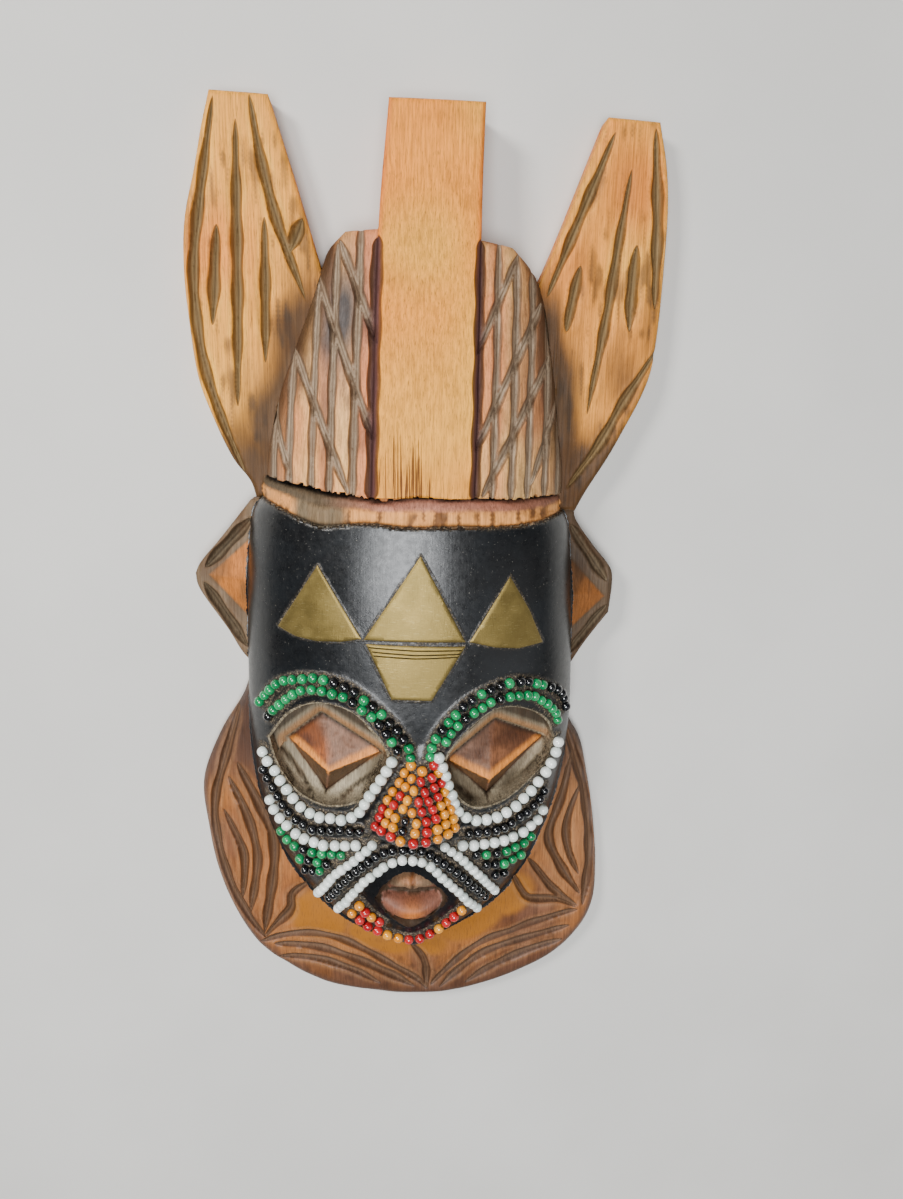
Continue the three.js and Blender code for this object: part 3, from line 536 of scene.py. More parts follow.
ROWS = {
    "brow_left_upper": (
        [(-62.8, 144.5), (-55.9, 154.2), (-46.3, 159), (-31.7, 158.7), (-17.4, 149), (-5.9, 134.3),
         (-4.6, 128)], "gggggggggkkkgkgkkkgg"),
    "brow_left_lower": (
        [(-59.6, 139.6), (-54.1, 147.1), (-45.2, 154.4), (-31.3, 154.2), (-17.8, 144.6), (-9.2, 131)],
        "kgggggggggkggkkgk"),
    "brow_right_upper": (
        [(1.2, 128.5), (4.1, 138), (16.6, 152), (31.9, 157.9), (45, 154.8), (54.5, 148),
         (56.6, 140.5)], "gggkggkkgkkgkkggkkkkk"),
    "brow_right_lower": (
        [(6.6, 134.8), (12.3, 143), (26.8, 151.8), (40.4, 151.4), (50, 143.5), (53.6, 136.5)],
        "gggkgggkggggggggg"),
    "cheek_left_green_1": (
        [(-56.7, 91.5), (-53.3, 86.4), (-49.6, 84), (-44.2, 83.8), (-29.5, 84.6)], "gggkgggg"),
    "cheek_left_green_2": ([(-50, 78), (-42.7, 78.6), (-35.6, 79.2)], "gkgk"),
    "cheek_left_green_3": ([(-47.6, 72.6), (-38.6, 74.4)], "kkg"),
    "cheek_right_green_1": (
        [(20, 83.8), (26.5, 82.6), (35.1, 82.3), (42.7, 84), (46.6, 87.4)], "kgkgggg"),
    "cheek_right_green_2": ([(24, 78), (29, 76.9), (33.7, 75.8), (43, 77.8)], "kkggg"),
    "cheek_right_green_3": ([(28.5, 70.8), (36, 70)], "kk"),
    "cheek_left_white_1": (
        [(-62.8, 126.4), (-56.8, 118.6), (-47.2, 105.4), (-39.7, 101.9), (-26.8, 103.4),
         (-19.4, 114.6), (-11, 130.2)], "w"),
    "cheek_left_white_2": (
        [(-60.9, 105.4), (-54.9, 96.2), (-47.6, 90.9), (-38.7, 88.8), (-23.8, 90.4)], "w"),
    "cheek_right_white_1": (
        [(4.6, 132.4), (7.5, 123.7), (9.9, 115.2), (14.5, 104.8), (23.8, 100.2), (38.5, 105.9),
         (50.1, 119.5), (54.2, 130.4)], "w"),
    "cheek_right_white_2": (
        [(14, 89.4), (23.6, 88.6), (32.6, 88.8), (41.5, 90.9), (47.7, 94.9), (50.2, 99.8)], "w"),
    "mouth_arm_left": ([(-18.4, 92), (-26.9, 81.8), (-33.2, 75.1), (-42.3, 59)], "w"),
    "mouth_arm_right": ([(7.6, 90.6), (14.9, 83.3), (21, 75.4), (31.6, 60.6)], "w"),
    "mouth_arch": (
        [(-34.2, 51.8), (-25.7, 66.9), (-17.4, 77.5), (-11, 82.4), (-6.3, 83.6), (-1.6, 83),
         (5, 77.7), (13.5, 67.1), (24.6, 51.8)], "w"),
    "cheek_left_black": (
        [(-62.6, 118.4), (-58.1, 110.4), (-53.3, 102.6), (-46.9, 96.9), (-38.5, 95.6), (-24.7, 97),
         (-22.6, 95.6)], "k"),
    "cheek_right_black": (
        [(16.4, 94.6), (22.9, 94.4), (31.2, 94.7), (39.1, 98.6), (46.4, 103.2), (50, 108.6)], "k"),
    "mouth_black_arch": (
        [(-37.6, 58), (-28.6, 73.7), (-21.7, 81.3), (-14.8, 87.2), (-7.9, 89), (-2.8, 88.6),
         (4.3, 84.8), (10.5, 79.2), (19.9, 68.6), (27.8, 57.6)], "k"),
    "chin_outer": (
        [(-29.4, 53.4), (-24.5, 48.6), (-18.2, 43.4), (-11.5, 40), (-2, 37.6), (6.6, 42.4),
         (13.9, 50), (18.9, 55)], "yrrryyrrryrry"),
    "chin_inner": ([(-25.4, 59.8), (-21.5, 53.6), (-15, 47.4)], "yryr"),
}

# The nose's rows, from its base up to its bridge
NOSE_BASE_ROW = {"y": 98.0, "half": 16.2, "middle": -3.6}
NOSE_BRIDGE_ROW = {"y": 126.0, "half": 5.0, "middle": -0.8}
NOSE_COLOURS = [
    "rrryrryyy", "ryykyryyy", "ryykyrryy", "yryyrryy", "yryrrry", "yyyrrr", "yyrry", "yyr",
]
for number, colours in enumerate(NOSE_COLOURS):
    share = number / (len(NOSE_COLOURS) - 1)
    y, half, middle = [
        NOSE_BASE_ROW[key] + (NOSE_BRIDGE_ROW[key] - NOSE_BASE_ROW[key]) * share
        for key in ("y", "half", "middle")
    ]
    row_path = [(middle - half, y + 1.6), (middle, y - 0.4), (middle + half, y + 1.6)]
    ROWS[f"nose_{number + 1}"] = (row_path, colours)

PLATES = {
    "brass_plate_left": [
        (-39.2, 202.2), (-54.7, 177.7), (-48, 175), (-40, 174), (-31, 174.5), (-23.4, 176)],
    "brass_plate_centre": [(-2.4, 206.8), (-22.6, 175.8), (14.4, 174.8)],
    "brass_plate_lower": [(-21.8, 174.2), (14.4, 173.2), (2.3, 152.6), (-12.5, 153.1)],
    "brass_plate_right": [
        (30.7, 198.5), (16, 174.8), (26, 172), (35, 170.8), (45.1, 171.7), (39, 185)],
}
ENGRAVED_LINES = [
    [(-20.6, 173.0), (-4, 172.0), (13.2, 171.8)],
    [(-19.6, 171.4), (-4, 170.3), (12.4, 170.4)],
    [(-18.8, 169.9), (-4, 169.0), (11.6, 169.3)],
]

# Height of the carving

# Depth of the band's cove, from its foot to the hairline
COVE = ([0, 0.1, 0.46, 0.56, 0.8, 0.9, 1.0], [2.2, 1.5, 1.4, 2.2, 4.2, 6.5, 7.0])
# Height over their floors, from the middles outwards, of the sockets and of the mouth
SOCKET_WALL = ([0, 0.6, 0.78, 0.9, 0.97, 1.01], [0, 0, 0.6, 2.4, 5.0, 30.0])
MOUTH_WALL = ([0, 0.75, 0.95, 1.08], [0, 0.4, 4.5, 22.0])
# Height of the upper lid over the floor, by the distance from the eye
LID_SHAPE = ([0, 0.7, 2.2, 4.0, 5.6, 7.5], [0, 0.2, 3.6, 4.6, 4.0, 4.4])


def dome(points, left, right, crown, edge):
    """Half ellipse across between two sides, and how far across from its middle each point is."""
    x, y = points.T
    middle = (left(y) + right(y)) / 2
    reach = (right(y) - left(y)) / 2
    across = np.abs(x - middle) / reach
    return edge + (crown(y) - edge) * np.sqrt(np.clip(1 - across**2, 0, 1)), across


def nose(points):
    """The nose's rounded ridge, and nothing beside it."""
    x, y = points.T
    across = np.abs(x - nose_middle(y)) / nose_half(y)
    top = nose_height(y) + (nose_side(y) - nose_height(y)) * np.clip(across, 0, 1) ** 2.2
    return np.where((across <= 1) & (y > 90) & (y < 134), top, 0)


def ground(points):
    """The face before its eyes, mouth and cuts: what the beads and the brass lie on."""
    height = dome(points, face_left, face_right, face_crown, DOME_EDGE)[0]
    return np.maximum(height, nose(points))


def ring_scale(points, loop, middle):
    """How far out each point lies, as a share of the loop's own reach in that direction."""
    spoke = loop[:-1] - middle
    angle = np.arctan2(spoke[:, 1], spoke[:, 0])
    order = np.argsort(angle)
    reach = np.linalg.norm(spoke, axis=1)[order]
    turn = angle[order]
    turn = np.concatenate([turn - 2 * np.pi, turn, turn + 2 * np.pi])
    gap = points - middle
    here = np.arctan2(gap[:, 1], gap[:, 0])
    return np.linalg.norm(gap, axis=1) / np.interp(here, turn, np.tile(reach, 3))


def pyramid(points, corners, front):
    """Share of the way up a low pyramid: 0 on its outline, 1 at its front vertex, -1 outside."""
    share = np.full(len(points), -1.0)
    front = np.array(front, float)
    for a, b in sides_of(corners):
        a = np.array(a, float)
        b = np.array(b, float)
        area = (b[0] - a[0]) * (front[1] - a[1]) - (front[0] - a[0]) * (b[1] - a[1])
        if abs(area) < 1e-6:
            continue
        gap = points - a
        up = ((b[0] - a[0]) * gap[:, 1] - (b[1] - a[1]) * gap[:, 0]) / area
        to_b = (gap[:, 0] * (front[1] - a[1]) - gap[:, 1] * (front[0] - a[0])) / area
        within = (up >= -1e-4) & (to_b >= -1e-4) & (up + to_b <= 1 + 1e-4)
        share = np.where(within, np.maximum(share, np.clip(up, 0, 1)), share)
    return share


def lip_half(form, place):
    """Half the width of a lip at each place along it."""
    return form["width"] / 2 * np.sin(np.pi * np.clip(0.06 + 0.88 * place, 0, 1)) ** 0.7


def lip(points, form):
    """Height of a rounded ridge along the mouth, drawn out thin at its corners."""
    distance, place, _ = nearest(points, form["line"], form["width"])
    half = lip_half(form, place)
    shape = np.sqrt(np.clip(1 - (distance / half) ** 2, 0, 1))
    ridge = form["rise"] * half / form["width"] * 2 * shape
    return np.where(distance < half, form["base"] + ridge, 0)


wander = make_noise(9.0, 3)
ripple = make_noise(2.6, 5)
broad = make_noise(26.0, 8)
fine = make_noise(1.4, 9)
strips = make_noise(6.0, 12)


def soft_edge(depth, drop=0.9, reach=1.3):
    """How far a worn edge has fallen, by the distance in from it."""
    return drop * np.clip(1 - depth / reach, 0, 1) ** 2


def raise_to(seen, level, where, part):
    """Raises the carving to a level, where that is higher than what is there."""
    higher = where & (level > seen["height"])
    seen["height"][higher] = level[higher]
    seen["zone"][higher] = part


def carve_flats(points, seen):
    """The horns, the ears with their panels, and the collar."""
    horn_in = np.maximum(depth_inside(points, LEFT_HORN), depth_inside(points, RIGHT_HORN))
    level = HORN_THICKNESS + 0.45 * wander(points, 3.0) - soft_edge(horn_in, 1.1, 1.6)
    raise_to(seen, level, horn_in > -TOUCH, ON_HORN)

    ear_in = np.maximum(depth_inside(points, LEFT_EAR), depth_inside(points, RIGHT_EAR))
    panel = np.maximum.reduce([pyramid(points, side["corners"], side["peak"]) for side in EAR_PANELS])
    level = EAR_THICKNESS + 0.2 * wander(points) - soft_edge(ear_in, 1.2, 1.8)
    raise_to(seen, level + EAR_PANEL_RISE * np.maximum(panel, 0), ear_in > -TOUCH, ON_EAR)

    rim_gap = nearest(points, COLLAR_RIM_LINE)[0]
    inner_gap = nearest(points, COLLAR_INNER_LINE)[0]
    share = rim_gap / np.maximum(rim_gap + inner_gap, 1e-6)
    level = COLLAR_RIM + (COLLAR_AT_FACE - COLLAR_RIM) * share
    level += COLLAR_SWELL * np.sin(np.pi * share) + 0.3 * wander(points)
    level -= soft_edge(rim_gap, 2.0, 3.0)
    raise_to(seen, level, inside(points, COLLAR) | (rim_gap < TOUCH), ON_COLLAR)
    seen.update(horn_in=horn_in, panel=panel, rim_gap=rim_gap, collar_share=share)


def carve_face(points, seen):
    """The domed face with its nose, and the sunken band above it."""
    x, y = points.T
    hair = np.interp(x, *HAIRLINE.T)
    foot = np.interp(x, *BAND_FOOT.T)
    face, across = dome(points, face_left, face_right, face_crown, DOME_EDGE)
    face += 0.12 * wander(points, 2.0)
    in_face = (across < 1.001) & (y < foot + 1e-6) & (y > CHIN - 0.1)
    edge_step = 0.9 * np.clip(1 - (foot - y) / 0.9, 0, 1) ** 2
    raise_to(seen, face - edge_step, in_face, ON_FACE)
    ridge = nose(points)
    raise_to(seen, ridge, (ridge > 0) & in_face, ON_NOSE)

    band, band_across = dome(points, band_left, band_right, band_crown, DOME_EDGE - 1)
    up = np.clip((y - foot) / (hair - foot), 0, 1)
    cove = np.interp(up, *COVE)
    in_band = (band_across < 1.001) & (y > foot) & (y < hair)
    raise_to(seen, band - cove + 0.35 * ripple(points), in_band, IN_BAND)
    seen.update(across=across, hair=y - hair, foot=y - foot, band_up=up)


def carve_cap(points, seen):
    """The cap, and the centre bar that runs up over it."""
    x, y = points.T
    above_hair = seen["hair"] >= -1e-6
    fall = soft_edge(np.maximum(seen["hair"], 0), 0.8, 1.2)
    cap, cap_across = dome(points, cap_left, cap_right, cap_crown, DOME_EDGE)
    cap_in = nearest(points, CAP)[0]
    in_cap = (inside(points, CAP) | (cap_in < TOUCH)) & above_hair
    top_gap = nearest(points, evenly(CAP_TOP[1:-1], 1.0))[0]
    level = cap - fall - soft_edge(top_gap, 1.2, 1.8) + 0.2 * wander(points)
    raise_to(seen, level, in_cap, ON_CAP)

    off_bar = np.abs(x - bar_middle(y)) - bar_half(y)
    in_bar = (off_bar < TOUCH) & (y > BAR_FOOT - TOUCH) & (y < BAR_TIP + TOUCH) & above_hair
    bar_in = np.minimum(-off_bar, BAR_TIP - y)
    level = bar_front(y) + 0.3 * (1 - (off_bar / bar_half(y) + 1) ** 2) - soft_edge(bar_in, 0.9, 1.2)
    raise_to(seen, level - fall, in_bar, ON_BAR)
    seen.update(cap_across=cap_across, cap_in=cap_in, off_bar=off_bar)


def carve_eyes(points, seen):
    """The sunk sockets, each with its lid, its crease and the pyramid of the eye."""
    x = points[:, 0]
    height = seen["height"]
    zone = seen["zone"]
    socket = np.full(len(points), 9.0)
    eye_share = np.full(len(points), -1.0)
    lid = np.full(len(points), FAR)
    crease = np.full(len(points), FAR)
    for eye in EYES.values():
        (x0, z0), (x1, z1) = eye["floor"]
        floor = z0 + (z1 - z0) * (x - x0) / (x1 - x0)
        scale = ring_scale(points, eye["loop"], eye["middle"])
        bowl = floor + np.interp(scale, *SOCKET_WALL)
        away, _, side = nearest(points, eye["lid_line"], LID_REACH)
        above = ((side > 0) == eye["lid_side"]) & (away < LID_REACH)
        ridge = np.interp(away, *LID_SHAPE)
        bowl = np.maximum(bowl, np.where(above & (scale < 1.02), floor + ridge, 0))
        below = np.where(above, FAR, nearest(points, eye["under_line"], 9.0)[0])
        bowl += np.where(below < FAR / 2, 1.6 * ramp(below, CREASE - 0.4, CREASE + 0.5), 0)
        cut = (scale < 1.02) & (bowl < height)
        height[cut] = bowl[cut]
        zone[cut & (scale < 1.0)] = IN_SOCKET
        crease = np.where(cut, np.minimum(crease, np.abs(below - CREASE)), crease)
        socket = np.minimum(socket, scale)
        lid = np.where(above & (scale < 1.02), np.minimum(lid, away), lid)
        rise = pyramid(points, eye["corners"], eye["front"])
        gem = floor + 0.2 + (EYE_RISE - 0.2) * np.maximum(rise, 0)
        proud = (rise >= 0) & cut
        height[proud] = gem[proud]
        eye_share = np.where(proud, rise, eye_share)
        zone[proud] = ON_EYE
    seen.update(socket=socket, eye_share=eye_share, lid=lid, crease=crease)


def carve_mouth(points, seen):
    """The sunk mouth with its two lips."""
    x, y = points.T
    height = seen["height"]
    zone = seen["zone"]
    mouth = ring_scale(points, MOUTH_LOOP, MOUTH_MIDDLE)
    floor = MOUTH_FLOOR + (y - MOUTH_MIDDLE[1]) * 0.2
    bowl = floor + np.interp(mouth, *MOUTH_WALL)
    cut = (mouth < 1.1) & (bowl < height)
    height[cut] = bowl[cut]
    zone[cut & (mouth < 1.0)] = IN_MOUTH
    dip = 1.1 * np.exp(-(((x - LIP_DIP) / 0.9) ** 2))
    upper = lip(points, UPPER_LIP) - dip * (y > 66)
    lower = lip(points, LOWER_LIP)
    lips = np.maximum(upper, lower)
    proud = (lips > height) & (mouth < 1.06)
    height[proud] = lips[proud]
    zone[proud] = np.where(upper > lower, ON_UPPER_LIP, ON_LOWER_LIP)[proud]
    seen["mouth"] = mouth


def cut_gouges(points, seen):
    """The gouge cuts, with the wood sunk a little along them and worn at their edges."""
    groove = np.zeros(len(points))
    cut_edge = np.zeros(len(points))
    for cut in GOUGES:
        distance, place, _ = nearest(points, cut["line"], cut["swell"] * 2.2)
        here = np.isin(seen["zone"], cut["zones"])
        full = gouge_fullness(cut, place)
        half = gouge_half(cut, place)
        t = np.clip(1 - distance / half, 0, 1) * here
        seen["height"] -= cut["depth"] * (t * (1.7 - 0.7 * t) * np.minimum(full, 1.1))
        hollow = cut["hollow"] * full * np.exp(-((distance / cut["swell"]) ** 2))
        seen["height"] -= hollow * here
        groove = np.maximum(groove, t * np.clip(full * 2.5, 0, 1))
        worn = np.exp(-(((distance - half - 0.6) / 0.8) ** 2)) * np.minimum(full, 1)
        cut_edge = np.maximum(cut_edge, worn)
    seen.update(groove=groove, cut_edge=cut_edge)


def lay_glue(points, seen):
    """Low ridges of glue along the rows of beads."""
    mastic = nearest_row(points)
    glue = np.exp(-(mastic / 2.0) ** 2)
    on_face = np.isin(seen["zone"], (ON_FACE, ON_NOSE))
    seen["height"] += np.where(on_face, glue * (0.55 + 0.35 * fine(points)), 0)
    seen["mastic"] = mastic


def survey(points):
    """Height of the carving at each plan point, and what is there, for its colours."""
    seen = {"height": np.zeros(len(points)), "zone": np.zeros(len(points), int)}
    for carve in (carve_flats, carve_face, carve_cap, carve_eyes, carve_mouth, cut_gouges, lay_glue):
        carve(points, seen)
    return seen


def gouge_fullness(cut, place):
    """How full a cut is at each place along it: it runs in and out of the wood."""
    full = np.sqrt(np.clip(np.minimum(place, 1 - place) * cut["length"] / cut["entry"], 0, 1))
    return full * (1 + 0.12 * np.sin(place * cut["length"] * 0.35))


def gouge_half(cut, place):
    """Half the width of a cut at each place along it."""
    return cut["width"] / 2 * np.maximum(gouge_fullness(cut, place), 0.08)


def nearest_row(points):
    """Distance to the nearest row of beads."""
    distance = np.full(len(points), FAR)
    for path, _ in ROWS.values():
        distance = np.minimum(distance, nearest(points, spline(path, 1.5), 6.0)[0])
    return distance


# Mesh of the carving: one sheet of triangles over the plan, with the carving's own lines in it


def sheet_of_triangles(lines, spacing, keep, clear):
    """Triangles over all points for which keep is true, with edges along the given lines."""
    points = []
    edges = []
    for line in lines:
        start = len(points)
        points.extend(map(tuple, line))
        edges.extend((start + i, start + i + 1) for i in range(len(line) - 1))
    tree = KDTree(len(points))
    for i, (px, py) in enumerate(points):
        tree.insert((px, py, 0), i)
    tree.balance()
    box = np.array(points)
    low = box.min(axis=0) + spacing * 0.37
    high = box.max(axis=0)
    rows = np.arange(low[1], high[1], spacing * 0.866)
    columns = np.arange(low[0], high[0], spacing)
    grid_x, grid_y = np.meshgrid(columns, rows)
    grid_x = grid_x + (np.arange(len(rows)) % 2)[:, None] * spacing / 2
    grid = np.stack([grid_x.ravel(), grid_y.ravel()], axis=1)
    grid = grid[keep(grid)]
    for px, py in grid.tolist():
        if tree.find((px, py, 0))[2] > clear:
            points.append((px, py))
    corners, _, faces, _, _, _ = delaunay_2d_cdt([Vector(p) for p in points], edges, [], 0, 1e-4, False)
    corners = np.array([tuple(v) for v in corners])
    faces = np.array(faces)
    middles = corners[faces].mean(axis=1)
    faces = faces[keep(middles)]
    used, again = np.unique(faces, return_inverse=True)
    return corners[used], again.reshape(faces.shape)


def in_any_zone(points):
    """Whether each point is on the mask's plan."""
    result = np.zeros(len(points), bool)
    for loop in ZONES:
        result |= inside(points, loop)
    return result


def lines_across(left, right, y, shares):
    """Lines up the plan, at shares of the way from the middle to each side."""
    middle = (left(y) + right(y)) / 2
    reach = (right(y) - left(y)) / 2
    return [np.stack([middle + way * share * reach, y], axis=1) for way in (-1, 1) for share in shares]


def carving_lines():
    """The lines along which the carving has an edge or a crease."""
    lines = [loop for loop in ZONES if loop is not COLLAR and loop is not CAP]
    lines += [COLLAR_RIM_LINE, evenly(CAP_TOP[1:-1], 1.0)]
    lines += cut_line(CAP, CAP[:, 1] > 227.0)
    for loop in (LEFT_HORN, RIGHT_HORN, LEFT_EAR, RIGHT_EAR, CAP):
        lines += offset(loop, 0.5)
    for move in (0.6, 1.6):
        lines += [part for part in offset(COLLAR, move) if part[:, 1].max() < 160]
    lines += lines_across(face_left, face_right, np.arange(32.0, 223.0, 1.0), (0.995, 0.982, 0.955))
    lines += lines_across(cap_left, cap_right, np.arange(228.0, 300.0, 1.0), (0.995, 0.98))
    for line, low, high, move in ((HAIRLINE, -61, 55, -0.3), (BAND_FOOT, -66, 56, 0.25)):
        part = line[(line[:, 0] > low) & (line[:, 0] < high)]
        lines += [part, part + (0, move)]
    y = np.arange(BAR_FOOT, BAR_TIP - 0.4, 1.0)
    for way in (-1, 1):
        for inwards in (-0.35, 0.35, 1.1):
            lines.append(np.stack([bar_middle(y) + way * (bar_half(y) - inwards), y], axis=1))
    x = np.arange(-14.0, 19.0, 1.0)
    lines.append(np.stack([x, np.full(len(x), BAR_TIP - 0.5)], axis=1))
    for eye in EYES.values():
        for scale in (1.035, 1.01, 0.985, 0.95, 0.9):
            lines.append(eye["middle"] + (eye["loop"] - eye["middle"]) * scale)
        for a, b in sides_of(eye["corners"]):
            lines.append(evenly([a, b], 1.0))
            lines.append(evenly([a, eye["front"]], 1.0))
    for scale in (1.11, 1.08, 1.02, 0.95, 0.88):
        lines.append(MOUTH_MIDDLE + (MOUTH_LOOP - MOUTH_MIDDLE) * scale)
    for form in (UPPER_LIP, LOWER_LIP):
        half = lip_half(form, np.linspace(0, 1, len(form["line"])))
        for share in (-0.99, -0.8, 0.8, 0.99):
            lines.append(beside(form["line"], share * half))
    for side in EAR_PANELS:
        lines += [evenly([a, b], 1.0) for a, b in sides_of(side["corners"])]
        lines.append(evenly([side["corners"][0], side["peak"]], 1.0))
    for cut in GOUGES:
        line = cut["line"]
        if cut["hollow"] > 0:
            lines.append(line)
        half = gouge_half(cut, np.linspace(0, 1, len(line)))
        lines += [beside(line, half), beside(line, -half)]
    return lines


# The scooped hollow of the back: its middle, half its width and length, its level lines as shares
# of its rim, and its depth from its floor out to the rim
HOLLOW = {"middle": np.array([-5.0, 128.0]), "half": np.array([43.0, 76.0])}
HOLLOW_RINGS = (1.012, 0.99, 0.97, 0.93, 0.86, 0.78, 0.7)
HOLLOW_DEPTH = ([0.7, 0.86, 0.97, 1.012], [20.0, 17.0, 10.0, 0.0])


def hollow_scale(points):
    """How far out from the hollow's middle each point is, 1 on its rim."""
    gap = np.abs(points - HOLLOW["middle"]) / HOLLOW["half"]
    return (gap**3).sum(axis=1) ** (1 / 3)


def back_height(points):
    """Height of the back: flat, with a scooped hollow that keeps the gouge's flats."""
    level = np.interp(hollow_scale(points), *HOLLOW_DEPTH)
    flats = 0.5 * np.abs(np.sin(points[:, 0] * 0.5 + 0.6 * np.sin(points[:, 1] * 0.11)))
    return np.where(level > 2.0, level - flats, level)


def hollow_ring(scale):
    """One level line of the hollow."""
    angle = np.linspace(0, 2 * np.pi, 161)
    round_x = np.sign(np.cos(angle)) * np.abs(np.cos(angle)) ** (2 / 3)
    round_y = np.sign(np.sin(angle)) * np.abs(np.sin(angle)) ** (2 / 3)
    return HOLLOW["middle"] + scale * HOLLOW["half"] * np.stack([round_x, round_y], axis=1)


def open_edges(faces):
    """The directed edges of a triangle sheet that have a face on one side only."""
    edges = np.vstack([faces[:, [0, 1]], faces[:, [1, 2]], faces[:, [2, 0]]])
    known = {(int(a), int(b)) for a, b in edges}
    return [(a, b) for a, b in known if (b, a) not in known]


def to_metres(plan, height):
    """Plan points and heights as places in the frame."""
    return np.column_stack([(plan + PLAN_SHIFT) * MM, height * MM])


def mesh_object(name, places, faces):
    """A new mesh object at the origin."""
    mesh = bpy.data.meshes.new(name)
    mesh.from_pydata(places.tolist(), [], [list(map(int, face)) for face in faces])
    mesh.update()
    thing = bpy.data.objects.new(name, mesh)
    bpy.context.collection.objects.link(thing)
    return thing


def select_only(thing):
    """Makes one object the selected and active one."""
    bpy.ops.object.select_all(action="DESELECT")
    thing.select_set(True)
    bpy.context.view_layer.objects.active = thing


def turn_outwards(thing, merge=0.0):
    """Turns all faces outwards, and first merges points that lie closer than the given distance."""
    select_only(thing)
    bpy.ops.object.mode_set(mode="EDIT")
    bpy.ops.mesh.select_all(action="SELECT")
    if merge:
        bpy.ops.mesh.remove_doubles(threshold=merge)
    bpy.ops.mesh.normals_make_consistent(inside=False)
    bpy.ops.object.mode_set(mode="OBJECT")


def smooth_by_angle(thing, degrees):
    """Smooth shading with sharp edges above an angle."""
    select_only(thing)
    bpy.ops.object.shade_smooth_by_angle(angle=math.radians(degrees))


def write_layer(thing, name, values):
    """Writes a number or a colour on each point of a mesh."""
    is_colour = np.ndim(values) == 2
    layer = thing.data.attributes.new(name, "FLOAT_COLOR" if is_colour else "FLOAT", "POINT")
    layer.data.foreach_set("color" if is_colour else "value", np.ravel(values))


def linear(code):
    """A colour written as six hex digits, as linear red, green, blue."""
    parts = [int(code[i:i + 2], 16) / 255 for i in (0, 2, 4)]
    return np.array([((c + 0.055) / 1.055) ** 2.4 if c > 0.04045 else c / 12.92 for c in parts])


def stain(code):
    """A stain of the wood, deepened so that the soft studio light shows it as the code says."""
    return np.clip(1.3 * linear(code) ** 1.27, 0.003, 0.9)


def spot(points, centre, size, lean=0.0):
    """A soft round stain, 1 in its middle. Size is its half width and half length."""
    gap = points - np.array(centre)
    turn = math.radians(lean)
    u = (gap[:, 0] * math.cos(turn) + gap[:, 1] * math.sin(turn)) / size[0]
    v = (gap[:, 1] * math.cos(turn) - gap[:, 0] * math.sin(turn)) / size[1]
    return np.exp(-(u * u + v * v))


def blend(colours, towards, share):
    """Mixes each colour towards one colour by its share."""
    share = np.clip(share * np.ones(len(colours)), 0, 1)[:, None]
    return colours * (1 - share) + np.asarray(towards) * share


HORN_WOOD = "de9446"
HORN_PALE = "f5a951"
BAR_WOOD = "ef9642"
BAR_PALE = "faa84e"
CAP_WOOD = "d69866"
CAP_PALE = "fcbe84"
STAIN_RED = "c46a4c"
COLLAR_WOOD = "6f4c36"
COLLAR_LIGHT = "a06e40"
OCHRE = "9e6d2b"
SMOKE = "4a3d31"
ASH = "7d705c"
EYE_WOOD = "9c6c4a"
SOCKET_WOOD = "a89e8a"
LIP_WOOD = "8a6252"
EAR_RIM = "7c6a56"
EAR_WOOD = "b87c44"
RAW_WOOD = "c0935a"
# How much of each red, green and blue the upright sides keep from the carving above them: they are
# darkened as painted shade, and made redder in tone
WALL_SHADE = (0.8, 0.56, 0.5)

# Colour of the middle of a cut
CUT_COLOURS = {
    ON_HORN: "8a7656", ON_EAR: "6f6352", ON_COLLAR: "745b45",
    ON_CAP: "a3927e", ON_BAR: "6e5150",
}

# Smoke stains on the horns: how strong, centre, half width and length, lean
HORN_SMEARS = [
    (0.75, (78, 268), (10, 20), 22), (0.55, (85, 290), (4, 22), 0), (0.35, (74, 338), (8, 16), 0),
    (0.4, (57, 300), (5, 26), 0), (0.4, (-85, 308), (4, 46), 0), (0.45, (-49, 305), (6, 12), 0),
    (0.4, (-63, 262), (9, 16), -20),
]

# Smooth ochre panels of the collar, in the same way
PANEL_SPOTS = [
    (1.6, (-42, 44), (13, 13), 35), (1.5, (-16, 33), (16, 8), -20), (1.6, (22, 40), (16, 9), 25),
    (1.4, (40, 52), (12, 10), 40), (1.0, (6, 28), (10, 8), 0),
]


def even(points, code):
    """One stain for all the points."""
    return np.tile(stain(code), (len(points), 1))


def wash(colours, washes):
    """Lays washes over the colours in turn: each a stain and how much of it, from 0 to 1."""
    for code, share in washes:
        colours = blend(colours, stain(code), share)
    return colours


def spots(points, marks):
    """The strongest of several soft stains at each point."""
    return np.maximum.reduce([strength * spot(points, *mark) for strength, *mark in marks])


def plain_panels(points):
    """Where the collar is left smooth and ochre, below the chin."""
    return ramp(spots(points, PANEL_SPOTS), 0.35, 0.8)


def horn_colours(points, seen):
    """Golden horns, smoked where they meet the cap."""
    y = points[:, 1]
    mottled = seen["mottled"]
    uneven = 3.5 * mottled + 0.8 * ripple(points, 4.0)
    smear = ramp(uneven - seen["cap_in"], -17, -3) * ramp(-y, -325, -290)
    smear = np.maximum(smear, ramp(uneven - y, -264, -240))
    return wash(even(points, HORN_WOOD), [
        (HORN_PALE, 0.45 + 0.6 * seen["wide"]),
        ("63503a", 0.7 * ramp(fine(points, 5.0) + 0.8 * mottled, 0.3, 1.1)),
        (HORN_PALE, 0.5 * ramp(-seen["horn_in"], -1.5, -0.3)),
        (SMOKE, 0.94 * np.maximum(smear, spots(points, HORN_SMEARS))),
    ])


